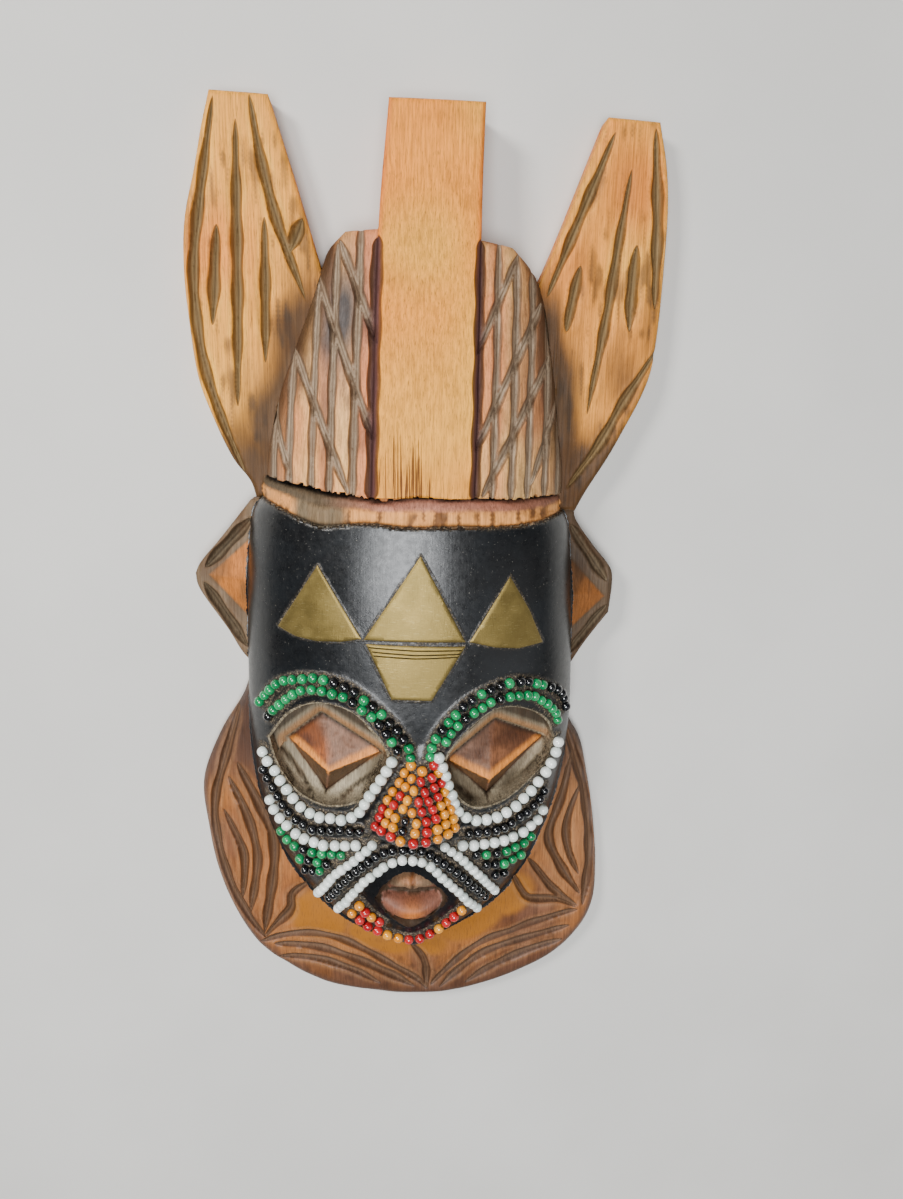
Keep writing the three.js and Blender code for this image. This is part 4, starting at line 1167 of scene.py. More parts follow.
def ear_colours(points, seen):
    """Grey rims with an orange panel in each."""
    mottled = seen["mottled"]
    return wash(even(points, EAR_RIM), [
        (EAR_WOOD, ramp(seen["panel"], 0.0, 0.06)),
        ("6f5842", 0.55 * ramp(ripple(points, 3.0) + mottled, -0.1, 0.9)),
        (SMOKE, 0.3 * np.clip(mottled, 0, 1) + 0.6 * ramp(points[:, 0], 40, 60)),
        (SMOKE, 0.5 * spot(points, (62, 200), (12, 9))),
    ])


def collar_colours(points, seen):
    """Brown and rust, darker at the rim and up beside the face, ochre below the chin."""
    y = points[:, 1]
    mottled = seen["mottled"]
    wide = seen["wide"]
    return wash(even(points, COLLAR_WOOD), [
        (COLLAR_LIGHT, np.clip(0.45 + 0.9 * wide + 0.5 * mottled, 0, 1)),
        ("84614e", 0.55 * ramp(wander(points + 70, 1.5), 0.0, 0.5)),
        ("4f3a2f", 0.5 * ramp(fine(points, 3.0) + ripple(points, 2.0), 0.3, 1.2)),
        ("b27846", 0.7 * spot(points, (-66, 66), (11, 26), 10)),
        ("bc885a", 0.85 * spot(points, (64, 86), (12, 34))),
        ("6a5346", 0.8 * ramp(-seen["rim_gap"] + 0.8 * mottled, -5.5, -1.5)),
        ("5f483c", 0.9 * ramp(y + 6 * wide, 98, 124)),
        ("5c4232", 0.62 * ramp(-y + 3 * mottled, -28, -8)),
        ("483328", 0.6 * spot(points, (-74, 136), (9, 20))),
        ("3c2c22", 0.75 * spot(points, (66, 132), (9, 26))),
        ("4a3324", 0.45 * (ramp(seen["collar_share"], 0.3, 0.7) * ramp(y, 62, 95))),
        (OCHRE, plain_panels(points)),
    ])


def cap_colours(points, seen):
    """Strips of pale, brown and red wood between the flutes."""
    mottled = seen["mottled"]
    strip_tone = strips(points, 60.0)
    return wash(even(points, CAP_WOOD), [
        (CAP_PALE, 0.45 + 0.4 * mottled + 0.5 * strip_tone),
        ("7a5844", 0.7 * ramp(-strip_tone + 0.5 * mottled, 0.1, 0.6)),
        (STAIN_RED, 0.5 * ramp(-seen["off_bar"], -9, -3) * ramp(-points[:, 0], -25, 25)),
        (STAIN_RED, 0.3 * ramp(seen["wide"], 0.0, 0.5)),
        (SMOKE, 0.45 * ramp(fine(points, 5.0) + 0.6 * mottled, 0.2, 0.9)),
        ("5f5a58", 1.1 * spot(points, (-31, 288), (9, 25), -8)),
        ("5a4438", 0.6 * spot(points, (38, 275), (10, 50))),
        (SMOKE, 0.9 * ramp(seen["cap_across"], 0.78, 0.96)),
    ])


def bar_colours(points, seen):
    """Pale gold with painted light on its lower part, deeper at the foot and along the edges."""
    y = points[:, 1]
    return wash(even(points, BAR_WOOD), [
        (BAR_PALE, 0.5 + 0.7 * seen["wide"]),
        # Painted light: the lower part of the bar made brighter
        ("fbb256", 0.5 * ramp(-y, -310, -255)),
        ("cf7c30", 0.3 * ramp(-y, -255, -230)),
        ("c56a34", 0.5 * ramp(seen["off_bar"], -2.0, -0.5)),
    ])


def band_colours(points, seen):
    """A speckled strip over the face and a pink and grey cove above it, with a painted shadow under the
    cap's ledge and a painted dark line of shade along the strip's foot.
    """
    x = points[:, 0]
    up = seen["band_up"]
    flecks = ramp(fine(points, 3.5) + 0.5 * ripple(points, 3.0), 0.15, 0.6)
    strip = wash(even(points, "d8a064"), [
        ("5a4030", 0.85 * flecks),
        (ASH, 0.95 * ramp(x, -50, -46) * ramp(-x, 27, 31)),
    ])
    cove = wash(even(points, "b07c68"), [
        ("cc9c88", 0.5 + 0.5 * seen["wide"]),
        ("685c4c", ramp(-x, 8, 40)),
        ("6b5444", 0.5 * ramp(x, 20, 50)),
    ])
    in_cove = ramp(up, 0.45, 0.6)[:, None]
    return wash(strip * (1 - in_cove) + cove * in_cove, [
        # Painted shadow under the overhanging edge of the cap
        ("0d0906", ramp(up, 0.78, 0.88)),
        # Painted shade in the crease at the band's foot
        ("1c140d", 0.85 * ramp(-up, -0.12, 0.0)),
    ])


def socket_colours(points, seen):
    """Grey wood, brown on the lid, with painted shade in its creases."""
    lid = seen["lid"]
    return wash(even(points, SOCKET_WOOD), [
        ("5f5444", 0.45 + 0.5 * seen["mottled"]),
        ("a07c58", 0.8 * ramp(lid, 0.9, 2.2) * ramp(-lid, -5.2, -3.6)),
        # Painted shade in the groove between the eye and its lid
        ("2b2219", ramp(-lid, -1.1, -0.4)),
        ("4d443a", 0.9 * ramp(lid, 4.8, 6.2) * (lid < FAR / 2)),
        # Painted shade along the crease under the eye
        ("33291d", 0.85 * ramp(-seen["crease"], -0.9, -0.2)),
    ])


def eye_colours(points, seen):
    """Polished brown pyramids, orange where worn, with their lower faces and their foot darkened as
    painted shade.
    """
    mottled = seen["mottled"]
    in_orange = spot(points, (-46, 128), (9, 12), 30)
    right_of = points[:, 0] >= EYES["right"]["front"][0]
    gem = wash(even(points, EYE_WOOD), [
        ("9c8272", np.where(right_of, 0.15, 0.8)),
        ("ac6a3a", 0.95 * ramp(in_orange, 0.2, 0.6)),
        ("5a3222", 0.8 * ramp(in_orange * (1 + 0.7 * mottled), 0.75, 1.1)),
        ("5b4436", 0.9 * spot(points, (37, 131), (9, 5), -20)),
        ("6a4c38", 0.5 * ramp(wander(points + 40, 1.0), 0.1, 0.6)),
        ("5f4030", 0.25 + 0.4 * ramp(wander(points + 15, 0.5), 0.0, 0.7)),
        ("6f4c36", 0.6 * ramp(fine(points, 0.4) + 0.5 * ripple(points), 0.2, 0.8)),
    ])
    under = np.zeros(len(points), bool)
    worn = np.zeros(len(points))
    for eye in EYES.values():
        outer, _, inner, bottom = eye["corners"]
        under |= facet(points, outer, bottom, eye["front"]) | facet(points, bottom, inner, eye["front"])
        crest = np.array([outer, eye["front"], inner], float)
        worn = np.maximum(worn, ramp(-nearest(points, crest, 8.0)[0] + 0.8 * mottled, -3.5, -1.2))
    gem = wash(gem, [("e09a50", 0.85 * worn)])
    # The lower faces: a darker brown, painted shade on the faces that look down
    lower = wash(even(points, "5e4935"), [("775b42", 0.5 + mottled)])
    gem = np.where(under[:, None], lower, gem)
    # Painted shade round the foot of each pyramid
    return wash(gem, [("35281c", 0.8 * ramp(-seen["eye_share"], -0.08, 0.0))])


def recess_colours(points, seen):
    """The hollow round the lips, darkened up its wall as painted shade."""
    return wash(even(points, "54463a"), [("2a221b", ramp(seen["mouth"], 0.9, 1.0))])


def lip_colours(points, seen):
    """Brown lips, the upper one greyer, with two worn light spots, and painted shade in the notch of the
    upper lip and by the recess's wall.
    """
    x, y = points.T
    light_spots = 1.1 * spot(points, (-3.5, 52.5), (5, 4.2)) + 0.5 * spot(points, (-4.5, 69), (4, 2))
    return wash(even(points, LIP_WOOD), [
        ("6f4a3c", 0.45 + 0.6 * seen["mottled"]),
        ("8b7964", 0.85 * ramp(y, 64, 66)),
        # Painted shade in the notch of the upper lip
        ("2b211a", ramp(y, 63, 64) * np.exp(-(((x - LIP_DIP) / 0.7) ** 2))),
        ("b9773c", light_spots),
        # Painted shade where the lips meet the recess's wall
        ("33241b", 0.8 * ramp(seen["mouth"], 0.85, 1.02)),
    ])


PAINTERS = {
    ON_HORN: horn_colours, ON_EAR: ear_colours, ON_COLLAR: collar_colours, IN_BAND: band_colours,
    ON_CAP: cap_colours, ON_BAR: bar_colours, ON_EYE: eye_colours, ON_UPPER_LIP: lip_colours,
    ON_LOWER_LIP: lip_colours, IN_SOCKET: socket_colours, IN_MOUTH: recess_colours,
}


def colour_of(points, seen):
    """Stain of the wood at each point, before grain: painted with broad, soft marks."""
    zone = seen["zone"]
    seen.update(mottled=wander(points, 2.0), wide=broad(points))
    # Round the mouth the wood under the paint's edge is darkened, going on with the recess's painted shade
    colours = wash(even(points, SOCKET_WOOD), [("463a2f", ramp(-seen["mouth"], -1.3, -1.2))])
    for part, painter in PAINTERS.items():
        colours = np.where((zone == part)[:, None], painter(points, seen), colours)
    on_collar = zone == ON_COLLAR
    worn = np.where(np.isin(zone, (ON_HORN, ON_EAR, ON_COLLAR, ON_CAP)), seen["cut_edge"], 0)
    pale = np.where(on_collar[:, None], stain("a8825e"), np.clip(colours * 1.4 + 0.02, 0, 1))
    colours = blend(colours, pale, np.where(on_collar, 0.36, 0.45) * worn)
    return np.clip(colours, 0, 1)


def cut_colour_of(seen):
    """Colour of the middle of a cut, as it is on each point's part of the mask."""
    zone = seen["zone"]
    colours = np.tile(stain(CUT_COLOURS[ON_HORN]), (len(zone), 1))
    for part, code in CUT_COLOURS.items():
        colours[zone == part] = stain(code)
    channel = np.exp(-((seen["off_bar"] / 2.4) ** 2)) * np.isin(zone, (ON_CAP, ON_BAR))
    return wash(colours, [(CUT_COLOURS[ON_BAR], channel)])


def facet(points, a, b, c):
    """Whether each point lies in a triangle."""
    result = np.ones(len(points), bool)
    (x0, y0), (x1, y1), (x2, y2) = a, b, c
    turn = np.sign((x1 - x0) * (y2 - y0) - (x2 - x0) * (y1 - y0))
    for start, stop in sides_of([a, b, c]):
        way = np.subtract(stop, start)
        gap = points - start
        result &= (way[0] * gap[:, 1] - way[1] * gap[:, 0]) * turn > 1e-3
    return result


def paint_of(points, seen):
    """Where the face is painted black."""
    zone = seen["zone"]
    behind = (seen["across"] < 1.0005) & (seen["foot"] < 0) & (zone < ON_FACE)
    behind &= points[:, 1] > CHIN - 0.1
    painted = (np.isin(zone, (ON_FACE, ON_NOSE)) | behind) * ramp(seen["socket"], 1.012, 1.035)
    return painted * ramp(seen["mouth"], 0.97, 1.01)


def dust_of(points, seen):
    """Where dust and old glue lie: round the rows of beads and the brass, and by the hairline."""
    around = np.full(len(points), FAR)
    for corners in PLATES.values():
        loop = evenly(corners + corners[:1], 1.0)
        around = np.minimum(around, nearest(points, loop, 4.0)[0])
    on_face = np.isin(seen["zone"], (ON_FACE, ON_NOSE, IN_SOCKET))
    off_eye = seen["zone"] != ON_EYE
    return np.maximum.reduce([
        0.8 * ramp(-around, -0.9, -0.2),
        on_face * ramp(-seen["mastic"], -3.0, -2.1),
        0.8 * off_eye * ramp(-np.abs(seen["socket"] - 1.0), -0.06, -0.02),
        0.6 * on_face * ramp(seen["foot"], -1.6, -0.3),
    ])


def make_wood():
    """The carved piece: carving in front, upright sides, and a plain scooped back."""
    spacing = SPACING
    plan, faces = sheet_of_triangles(carving_lines(), spacing, in_any_zone, spacing * 0.45)
    seen = survey(plan)
    wall = np.array(open_edges(faces))
    back_lines = [plan[[a, b]] for a, b in wall]
    back_lines += [hollow_ring(scale) for scale in HOLLOW_RINGS]
    back_plan, back_faces = sheet_of_triangles(back_lines, BACK_SPACING, in_any_zone, 1.4)
    front_count = len(plan)
    back_start = front_count + 2 * len(wall)
    wall_points = wall.ravel()
    places = np.vstack([
        to_metres(plan, seen["height"]),
        to_metres(plan[wall_points], np.zeros(len(wall_points))),
        to_metres(back_plan, back_height(back_plan)),
    ])
    side_faces = [
        (a, front_count + 2 * i, front_count + 2 * i + 1, b) for i, (a, b) in enumerate(wall.tolist())
    ]
    all_faces = faces.tolist() + side_faces + (back_faces[:, ::-1] + back_start).tolist()
    wood = mesh_object("carved_wood", places, all_faces)

    colours = np.ones((len(places), 4))
    colours[:, :3] = stain(RAW_WOOD)
    colours[:front_count, :3] = colour_of(plan, seen)
    # The upright sides: the carving's colours darkened as painted shade, with a red-brown stain added
    colours[front_count:back_start, :3] = colours[wall_points, :3] * WALL_SHADE + stain("5a3028") * 0.3
    cut_colours = np.ones((len(places), 4))
    cut_colours[:front_count, :3] = cut_colour_of(seen)
    write_layer(wood, "tint", colours)
    write_layer(wood, "cut_tint", cut_colours)
    values = {
        "groove": seen["groove"], "paint": paint_of(plan, seen), "dust": dust_of(plan, seen),
        "varnish": np.isin(seen["zone"], (ON_COLLAR, ON_EYE, ON_UPPER_LIP, ON_LOWER_LIP)),
        "plain": plain_panels(plan) * (seen["zone"] == ON_COLLAR),
        "crack": 1.3 * spot(plan, (-6, 226), (9, 24)) * (seen["zone"] == ON_BAR),
    }
    for name, value in values.items():
        full = np.zeros(len(places))
        full[:front_count] = value
        if name == "paint":
            full[front_count:back_start] = value[wall_points]
        write_layer(wood, name, full)
    turn_outwards(wood, merge=0.000004)
    smooth_by_angle(wood, 58)
    return wood


# Beads


# Beads' bluntness (2 is a ball), what is left of their length at their ends' middles, and how deep
# they sit in the glue
BLUNTNESS = 2.2
POLE_DENT = 0.8
BEAD_SUNK = 0.45


def make_bead_form():
    """One small blunt bead with dented ends, lying along x, one unit across and one unit long."""
    bpy.ops.object.select_all(action="DESELECT")
    bpy.ops.mesh.primitive_uv_sphere_add(
        segments=12, ring_count=8, radius=0.5, rotation=(0, math.pi / 2, 0))
    form = bpy.context.object
    bpy.ops.object.transform_apply(location=True, rotation=True, scale=True)
    mesh = form.data
    places = np.array([tuple(v.co) for v in mesh.vertices])
    along = np.abs(places[:, 0])
    around = np.hypot(places[:, 1], places[:, 2])
    blunt = 0.5 / (along**BLUNTNESS + around**BLUNTNESS) ** (1 / BLUNTNESS)
    places *= blunt[:, None]
    places[around < 0.01, 0] *= POLE_DENT
    faces = [tuple(p.vertices) for p in mesh.polygons]
    bpy.data.objects.remove(form)
    return places, faces


def row_stops(path, across, colours):
    """Bead middles and headings along a row, with the bead's length."""
    line = spline(path, 0.4)
    track = np.column_stack([line, ground(line)])
    steps = np.linalg.norm(np.diff(track, axis=0), axis=1)
    run = np.concatenate([[0.0], np.cumsum(steps)])
    count = len(colours) if len(colours) > 1 else max(1, int(round(run[-1] / (across * 0.93))))
    stops = (np.arange(count) + 0.5) / count * run[-1]
    before, middle, after = [
        np.stack([np.interp(stops + move, run, track[:, k]) for k in range(3)], axis=1)
        for move in (-1.2, 0.0, 1.2)
    ]
    heading = after - before
    heading /= np.linalg.norm(heading, axis=1)[:, None]
    return middle, heading, run[-1] / count


def out_of(points):
    """Direction out of the face at each plan point."""
    reach = 1.6
    slope_x = ground(points + (reach, 0)) - ground(points - (reach, 0))
    slope_y = ground(points + (0, reach)) - ground(points - (0, reach))
    normal = np.column_stack([-slope_x, -slope_y, np.full(len(points), 2 * reach)])
    return normal / np.linalg.norm(normal, axis=1)[:, None]


def make_row(name, path, colours, across, form, glass):
    """One row of separate beads, seated on the face."""
    middle, heading, pitch = row_stops(path, across, colours)
    normal = out_of(middle[:, :2])
    letters = colours if len(colours) > 1 else colours * len(middle)
    kinds = sorted(set(letters))
    form_places, form_faces = form
    places = []
    faces = []
    kind_of_face = []
    for i, (centre, ahead, out) in enumerate(zip(middle, heading, normal)):
        side = np.cross(out, ahead)
        side /= np.linalg.norm(side)
        out = np.cross(ahead, side)
        yaw = random.normal(0, 0.12)
        ahead, side = (
            ahead * math.cos(yaw) + side * math.sin(yaw), side * math.cos(yaw) - ahead * math.sin(yaw))
        size = across * random.uniform(0.93, 1.04)
        length = min(pitch * 0.97, size * 0.98)
        shift = random.normal(0, 0.14, 3)
        seat = centre + out * (size / 2 - BEAD_SUNK) + shift * (1, 1, 0.5)
        local = form_places * (length, size, size * 0.97)
        placed = seat + local[:, :1] * ahead + local[:, 1:2] * side + local[:, 2:] * out
        start = len(places) * len(form_places)
        places.append(placed)
        faces.extend(tuple(start + c for c in face) for face in form_faces)
        kind_of_face.extend([kinds.index(letters[i])] * len(form_faces))
    flat = np.vstack(places)
    row = mesh_object(f"bead_row_{name}", to_metres(flat[:, :2], flat[:, 2]), faces)
    for kind in kinds:
        row.data.materials.append(glass[kind])
    row.data.polygons.foreach_set("material_index", kind_of_face)
    tone = np.repeat(random.uniform(0, 1, len(middle)), len(form_places))
    write_layer(row, "bead_tone", tone)
    select_only(row)
    bpy.ops.object.shade_smooth()
    return row


# Brass

PLATE_THICKNESS = 0.62
PLATE_EDGE = 0.45


def make_plate(name, corners):
    """Thin brass sheet that follows the forehead, with its edge pressed down."""
    loop = np.vstack([evenly([a, b], 1.2)[:-1] for a, b in sides_of(corners)])
    loop = np.vstack([loop, loop[:1]])
    lines = [loop] + offset(loop, PLATE_EDGE)
    engraved = []
    if name == "brass_plate_lower":
        engraved = [evenly(line, 0.8) for line in ENGRAVED_LINES]
    for line in engraved:
        lines += [line, line + (0, 0.28), line - (0, 0.28)]

    def on_plate(points):
        return inside(points, loop)

    plan, faces = sheet_of_triangles(lines, 1.3, on_plate, 0.5)
    edge = nearest(plan, loop)[0]
    pressed = 0.28 * np.clip(1 - edge / PLATE_EDGE, 0, 1)
    top = ground(plan) + PLATE_THICKNESS - pressed + 0.06 * wander(plan)
    cut = np.zeros(len(plan))
    for line in engraved:
        cut = np.maximum(cut, np.clip(1 - nearest(plan, line)[0] / 0.26, 0, 1))
    top -= 0.25 * cut
    count = len(plan)
    places = np.vstack([to_metres(plan, top), to_metres(plan, ground(plan) + 0.02)])
    side_faces = [(a, a + count, b + count, b) for a, b in open_edges(faces)]
    back_faces = (faces[:, ::-1] + count).tolist()
    plate = mesh_object(f"sheet_{name}", places, faces.tolist() + side_faces + back_faces)
    write_layer(plate, "engraved", np.concatenate([cut, np.zeros(count)]))
    turn_outwards(plate)
    smooth_by_angle(plate, 40)
    return plate


# Materials


class Board:
    """A material's nodes, added and joined by short calls."""

    def __init__(self, name):
        self.material = bpy.data.materials.new(name)
        self.material.use_nodes = True
        self.tree = self.material.node_tree
        self.shader = self.tree.nodes["Principled BSDF"]
        self.place = self.add("ShaderNodeTexCoord").outputs["Object"]

    def add(self, kind, **settings):
        node = self.tree.nodes.new(kind)
        for key, value in settings.items():
            setattr(node, key, value)
        return node

    def join(self, source, socket):
        if hasattr(source, "is_output"):
            self.tree.links.new(source, socket)
        elif source is not None:
            socket.default_value = source

    def noise(self, scale, detail=3.0, rough=0.55, stretch=(1, 1, 1), move=(0, 0, 0)):
        mapping = self.add("ShaderNodeMapping")
        self.join(self.place, mapping.inputs["Vector"])
        mapping.inputs["Scale"].default_value = stretch
        mapping.inputs["Location"].default_value = move
        texture = self.add("ShaderNodeTexNoise")
        self.join(mapping.outputs["Vector"], texture.inputs["Vector"])
        texture.inputs["Scale"].default_value = scale
        texture.inputs["Detail"].default_value = detail
        texture.inputs["Roughness"].default_value = rough
        return texture.outputs["Fac"]

    def range(self, value, low, high, to_low=0.0, to_high=1.0):
        node = self.add("ShaderNodeMapRange", interpolation_type="SMOOTHSTEP")
        self.join(value, node.inputs["Value"])
        for key, number in zip(("From Min", "From Max", "To Min", "To Max"), (low, high, to_low, to_high)):
            node.inputs[key].default_value = number
        return node.outputs["Result"]

    def math(self, kind, a, b=0.5):
        node = self.add("ShaderNodeMath", operation=kind)
        self.join(a, node.inputs[0])
        self.join(b, node.inputs[1])
        return node.outputs[0]

    def times(self, a, b):
        return self.math("MULTIPLY", a, b)

    def plus(self, a, b):
        return self.math("ADD", a, b)

    def mix(self, share, a, b, kind="MIX"):
        node = self.add("ShaderNodeMix", data_type="RGBA", blend_type=kind)
        self.join(share, node.inputs[0])
        self.join(self.full(a), node.inputs[6])
        self.join(self.full(b), node.inputs[7])
        return node.outputs[2]

    @staticmethod
    def full(colour):
        if hasattr(colour, "is_output"):
            return colour
        return (*[float(c) for c in colour], 1.0)

    def attribute(self, name, colour=False):
        node = self.add("ShaderNodeAttribute", attribute_name=name)
        return node.outputs["Color" if colour else "Fac"]

    def grey(self, value):
        node = self.add("ShaderNodeCombineColor")
        for k in range(3):
            self.join(value, node.inputs[k])
        return node.outputs[0]

    def bump(self, height, strength, distance, onto=None):
        node = self.add("ShaderNodeBump")
        node.inputs["Strength"].default_value = strength
        node.inputs["Distance"].default_value = distance
        self.join(height, node.inputs["Height"])
        if onto is not None:
            self.join(onto, node.inputs["Normal"])
        return node.outputs["Normal"]

    def set(self, **values):
        for key, value in values.items():
            self.join(value, self.shader.inputs[key.replace("_", " ")])
        return self.material


def wood_material():
    """Stained and varnished wood with burnt cuts that carry painted shade along their middles, and black
    paint on the face.
    """
    board = Board("carved_wood_finish")
    tint, cut_tint = [board.attribute(name, colour=True) for name in ("tint", "cut_tint")]
    groove, paint, dust, varnish, crack, plain = [
        board.attribute(name) for name in ("groove", "paint", "dust", "varnish", "crack", "plain")
    ]
    grain = board.noise(1.0, 5.0, 0.65, stretch=(1500, 40, 700))
    fine_grain = board.noise(1.0, 2.0, 0.5, stretch=(3800, 230, 1500), move=(3, 5, 1))
    streak = board.noise(1.0, 2.0, 0.5, stretch=(1900, 26, 100), move=(4, 1, 2))
    cloud = board.noise(70.0, 4.0, 0.6, move=(1, 2, 3))
    speck = board.noise(1500.0, 2.0, 0.6)
    grit = board.noise(420.0, 4.0, 0.65)

    # Cuts: burnt dark at their ragged edges, and darker along their middles as painted shade
    cut_edge = board.mix(1.0, cut_tint, (0.36, 0.32, 0.3), "MULTIPLY")
    ragged = board.plus(groove, board.range(grain, 0.3, 0.7, -0.05, 0.05))
    at_edge = board.times(board.range(ragged, 0.03, 0.2), board.range(groove, 0.0, 0.05))
    tint = board.mix(board.times(at_edge, 0.8), tint, cut_edge)
    tint = board.mix(board.range(ragged, 0.28, 0.8), tint, cut_tint)
    tint = board.mix(board.range(ragged, 0.7, 1.0, 0.0, 0.75), tint, cut_edge)

    # Grain, pores and cracks
    bright = board.range(grain, 0.25, 0.75, 0.64, 1.2)
    bright = board.plus(bright, board.times(plain, board.math("SUBTRACT", 0.98, bright)))
    wood = board.mix(1.0, tint, board.grey(bright), "MULTIPLY")
    wood = board.mix(board.range(fine_grain, 0.56, 0.72, 0.0, 0.5), wood, linear("4a3220"))
    split = board.range(board.plus(streak, board.times(crack, 0.24)), 0.73, 0.79)
    split = board.times(split, board.range(crack, 0.02, 0.3))
    wood = board.mix(board.times(split, 0.85), wood, linear("3c120a"))
    wood = board.mix(board.range(cloud, 0.5, 0.78, 0.0, 0.28), wood, linear("5c3518"))

    # Black paint, then dust and old glue on it
    edge_noise = board.range(grit, 0.2, 0.8, -0.25, 0.25)
    painted = board.range(board.plus(paint, edge_noise), 0.42, 0.58)
    paint_colour = board.mix(board.range(cloud, 0.35, 0.7), linear("07080a"), linear("101316"))
    colour = board.mix(painted, wood, paint_colour)
    dusty = board.times(dust, board.range(grit, 0.3, 0.62, 0.35, 1.0))
    glue = board.mix(board.range(speck, 0.5, 0.68), linear("2e261d"), linear("948266"))
    colour = board.mix(dusty, colour, glue)
    flecks = board.times(board.range(speck, 0.69, 0.74), painted)
    colour = board.mix(board.times(flecks, 0.5), colour, linear("9a958a"))

    wood_rough = board.plus(board.range(cloud, 0.3, 0.7, 0.42, 0.6), board.times(groove, 0.22))
    wood_rough = board.math("MINIMUM", board.plus(wood_rough, board.times(dusty, 0.4)), 0.95)
    rough = board.add("ShaderNodeMix", data_type="FLOAT")
    board.join(board.times(painted, board.math("SUBTRACT", 1.0, dusty)), rough.inputs[0])
    board.join(wood_rough, rough.inputs[2])
    board.join(board.range(grit, 0.3, 0.7, 0.27, 0.36), rough.inputs[3])
    shine = board.plus(board.plus(0.14, board.times(varnish, 0.2)), board.times(painted, 0.42))
    board.join(shine, board.shader.inputs["Specular IOR Level"])

    relief = board.times(grain, board.plus(board.math("SUBTRACT", 1.0, painted), 0.12))
    normal = board.bump(relief, 0.5, 0.0004)
    normal = board.bump(board.times(grit, board.plus(dusty, 0.2)), 0.6, 0.0006, normal)
    return board.set(Base_Color=colour, Roughness=rough.outputs[0], Normal=normal)


def brass_material():
    """Dull, finely scratched brass sheet."""
    board = Board("brass_finish")
    cloud = board.noise(90.0, 4.0, 0.6)
    brushed = board.noise(1.0, 3.0, 0.6, stretch=(300, 5000, 300))
    scratch = board.noise(1.0, 2.0, 0.5, stretch=(4200, 260, 900), move=(2, 1, 0))
    cross = board.noise(1.0, 2.0, 0.5, stretch=(320, 3600, 900), move=(7, 4, 0))
    colour = board.mix(board.range(cloud, 0.3, 0.7), linear("7c6a3a"), linear("8b7844"))
    colour = board.mix(board.range(scratch, 0.6, 0.68, 0.0, 0.3), colour, linear("6b5a32"))
    colour = board.mix(board.range(cross, 0.63, 0.7, 0.0, 0.22), colour, linear("d8c68c"))
    colour = board.mix(board.attribute("engraved"), colour, linear("2c2414"))
    rough = board.range(cloud, 0.3, 0.7, 0.42, 0.56)
    normal = board.bump(board.plus(brushed, scratch), 0.25, 0.00015)
    board.shader.inputs["Metallic"].default_value = 0.85
    return board.set(Base_Color=colour, Roughness=rough, Normal=normal)


def glass_material(name, dark, light, rough):
    """Opaque bead glass, a little different from bead to bead."""
    board = Board(f"bead_glass_{name}")
    tone = board.attribute("bead_tone")
    colour = board.mix(tone, linear(dark), linear(light))
    smear = board.range(board.noise(600.0, 3.0, 0.6), 0.5, 0.75, 0.0, 0.12)
    colour = board.mix(smear, colour, linear("6f6857"))
    roughness = board.range(board.noise(900.0, 2.0), 0.3, 0.7, rough, rough + 0.12)
    board.shader.inputs["Coat Weight"].default_value = 0.8
    board.shader.inputs["Coat Roughness"].default_value = 0.04
    return board.set(Base_Color=colour, Roughness=roughness)


def floor_material():
    """Plain pale ground."""
    board = Board("pale_ground")
    cloud = board.noise(8.0, 4.0, 0.55)
    colour = board.mix(board.range(cloud, 0.3, 0.7), linear("cfcdc8"), linear("d6d4cf"))
    board.shader.inputs["Roughness"].default_value = 0.8
    return board.set(Base_Color=colour)


# Camera, light and ground

CAMERA_AT = Vector((-0.0150, 0.0785, 0.3510))
CAMERA_AIM = Vector((0.0130, -0.0015, 0.0))
CAMERA_ROLL = math.radians(1.2)
LENS = 26.03


def aim(thing, target, roll=0.0):
    """Turns a camera or a light so that it looks at a point."""
    forward = (target - thing.location).normalized()
    right = forward.cross(Vector((0, 1, 0))).normalized()
    up = right.cross(forward)
    leaned_right = right * math.cos(roll) + up * math.sin(roll)
    leaned_up = up * math.cos(roll) - right * math.sin(roll)
    turn = Matrix((leaned_right, leaned_up, -forward)).transposed()
    thing.rotation_euler = turn.to_euler()


def make_camera():
    """The camera, at the photo's angle."""
    bpy.ops.object.camera_add(location=CAMERA_AT)
    camera = bpy.context.object
    camera.name = "camera"
    camera.data.sensor_width = 36.0
    camera.data.lens = LENS
    camera.data.clip_start = 0.01
    aim(camera, CAMERA_AIM, CAMERA_ROLL)
    bpy.context.scene.camera = camera


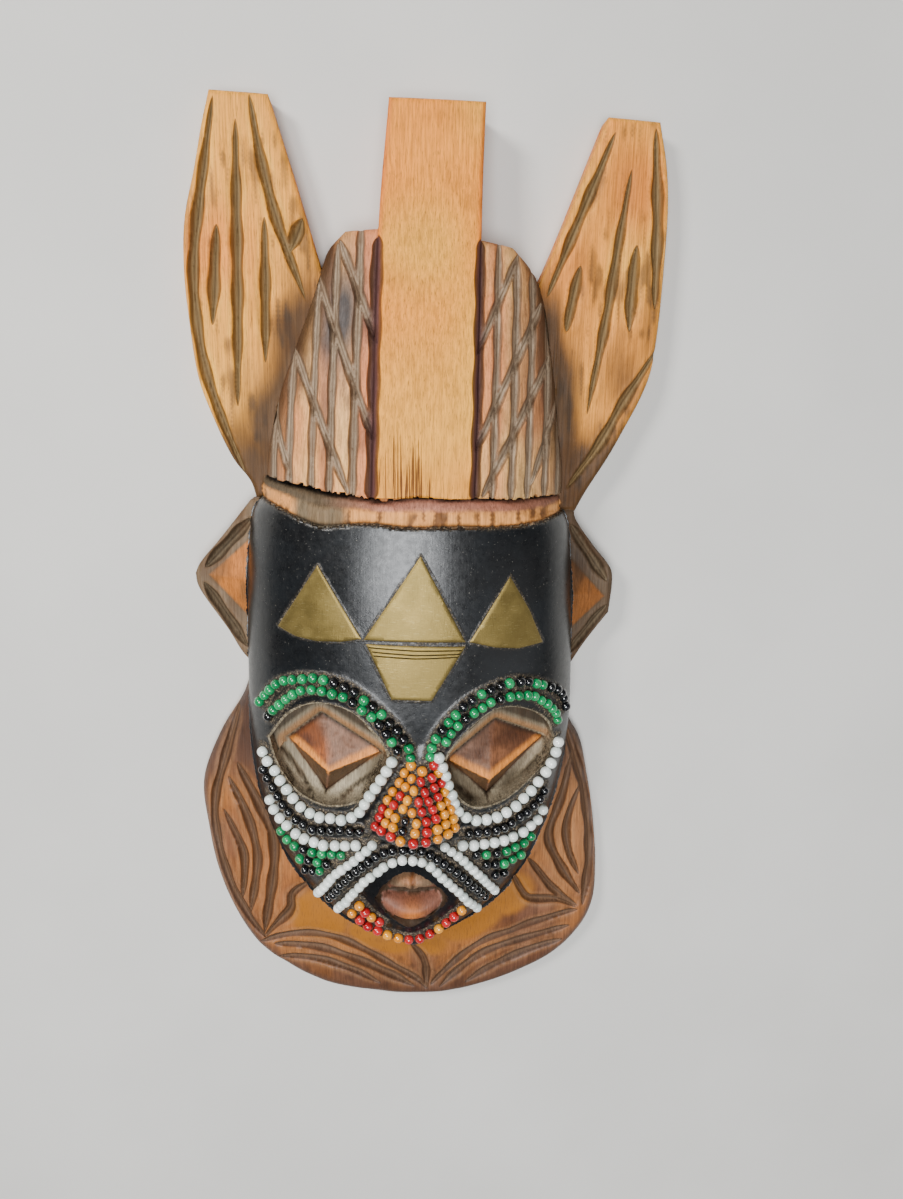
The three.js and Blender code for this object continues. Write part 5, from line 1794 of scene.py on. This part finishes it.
def make_light(name, location, size, power, colour=(1, 1, 1)):
    """A broad soft light that looks at the mask."""
    bpy.ops.object.light_add(type="AREA", location=location)
    light = bpy.context.object
    light.name = name
    light.data.shape = "RECTANGLE"
    light.data.size = size[0]
    light.data.size_y = size[1]
    light.data.energy = power
    light.data.color = colour
    aim(light, Vector((0, 0, 0.02)))


def make_room_light():
    """Faint light from all round."""
    world = bpy.data.worlds.new("soft_room")
    bpy.context.scene.world = world
    world.use_nodes = True
    background = world.node_tree.nodes["Background"]
    background.inputs["Color"].default_value = (0.8, 0.82, 0.85, 1.0)
    background.inputs["Strength"].default_value = 0.13


def make_ground():
    """The plain floor that the mask lies on."""
    bpy.ops.object.select_all(action="DESELECT")
    bpy.ops.mesh.primitive_plane_add(size=6.0, location=(0, 0, 0))
    floor = bpy.context.object
    floor.name = "ground"
    bpy.ops.object.transform_apply(location=True, rotation=True, scale=True)
    floor.data.materials.append(floor_material())


make_camera()
make_ground()
make_light("key_light", (-0.75, 0.6, 0.85), (0.3, 0.3), 13.5, (1.0, 0.98, 0.95))
make_light("overhead_light", (-0.08, -0.12, 1.15), (0.55, 0.5), 17.5, (0.96, 0.98, 1.0))
make_light("fill_light", (0.9, -0.5, 0.7), (0.8, 0.8), 1.3)
make_room_light()

wood = make_wood()
wood.data.materials.append(wood_material())
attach(wood, "root")
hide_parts("carved_wood_mask")

brass = brass_material()
for plate_name, plate_corners in PLATES.items():
    plate = make_plate(plate_name, plate_corners)
    plate.data.materials.append(brass)
    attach(plate, "root")
    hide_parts(plate_name)

GLASS = {
    "g": glass_material("green", "04703e", "0a9656", 0.08),
    "k": glass_material("black", "060709", "0d0f14", 0.07),
    "w": glass_material("white", "dce6e0", "f4f8f2", 0.12),
    "r": glass_material("red", "a41018", "c42024", 0.08),
    "y": glass_material("yellow", "dc8408", "ee9e18", 0.1),
}
bead_form = make_bead_form()
for row_name, (row_line, row_colours) in ROWS.items():
    across = [size for start, size in BEAD_SIZES.items() if row_name.startswith(start)] or [BEAD]
    row = make_row(row_name, row_line, row_colours, across[0], bead_form, GLASS)
    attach(row, "root")
    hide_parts(f"beads_{row_name}")
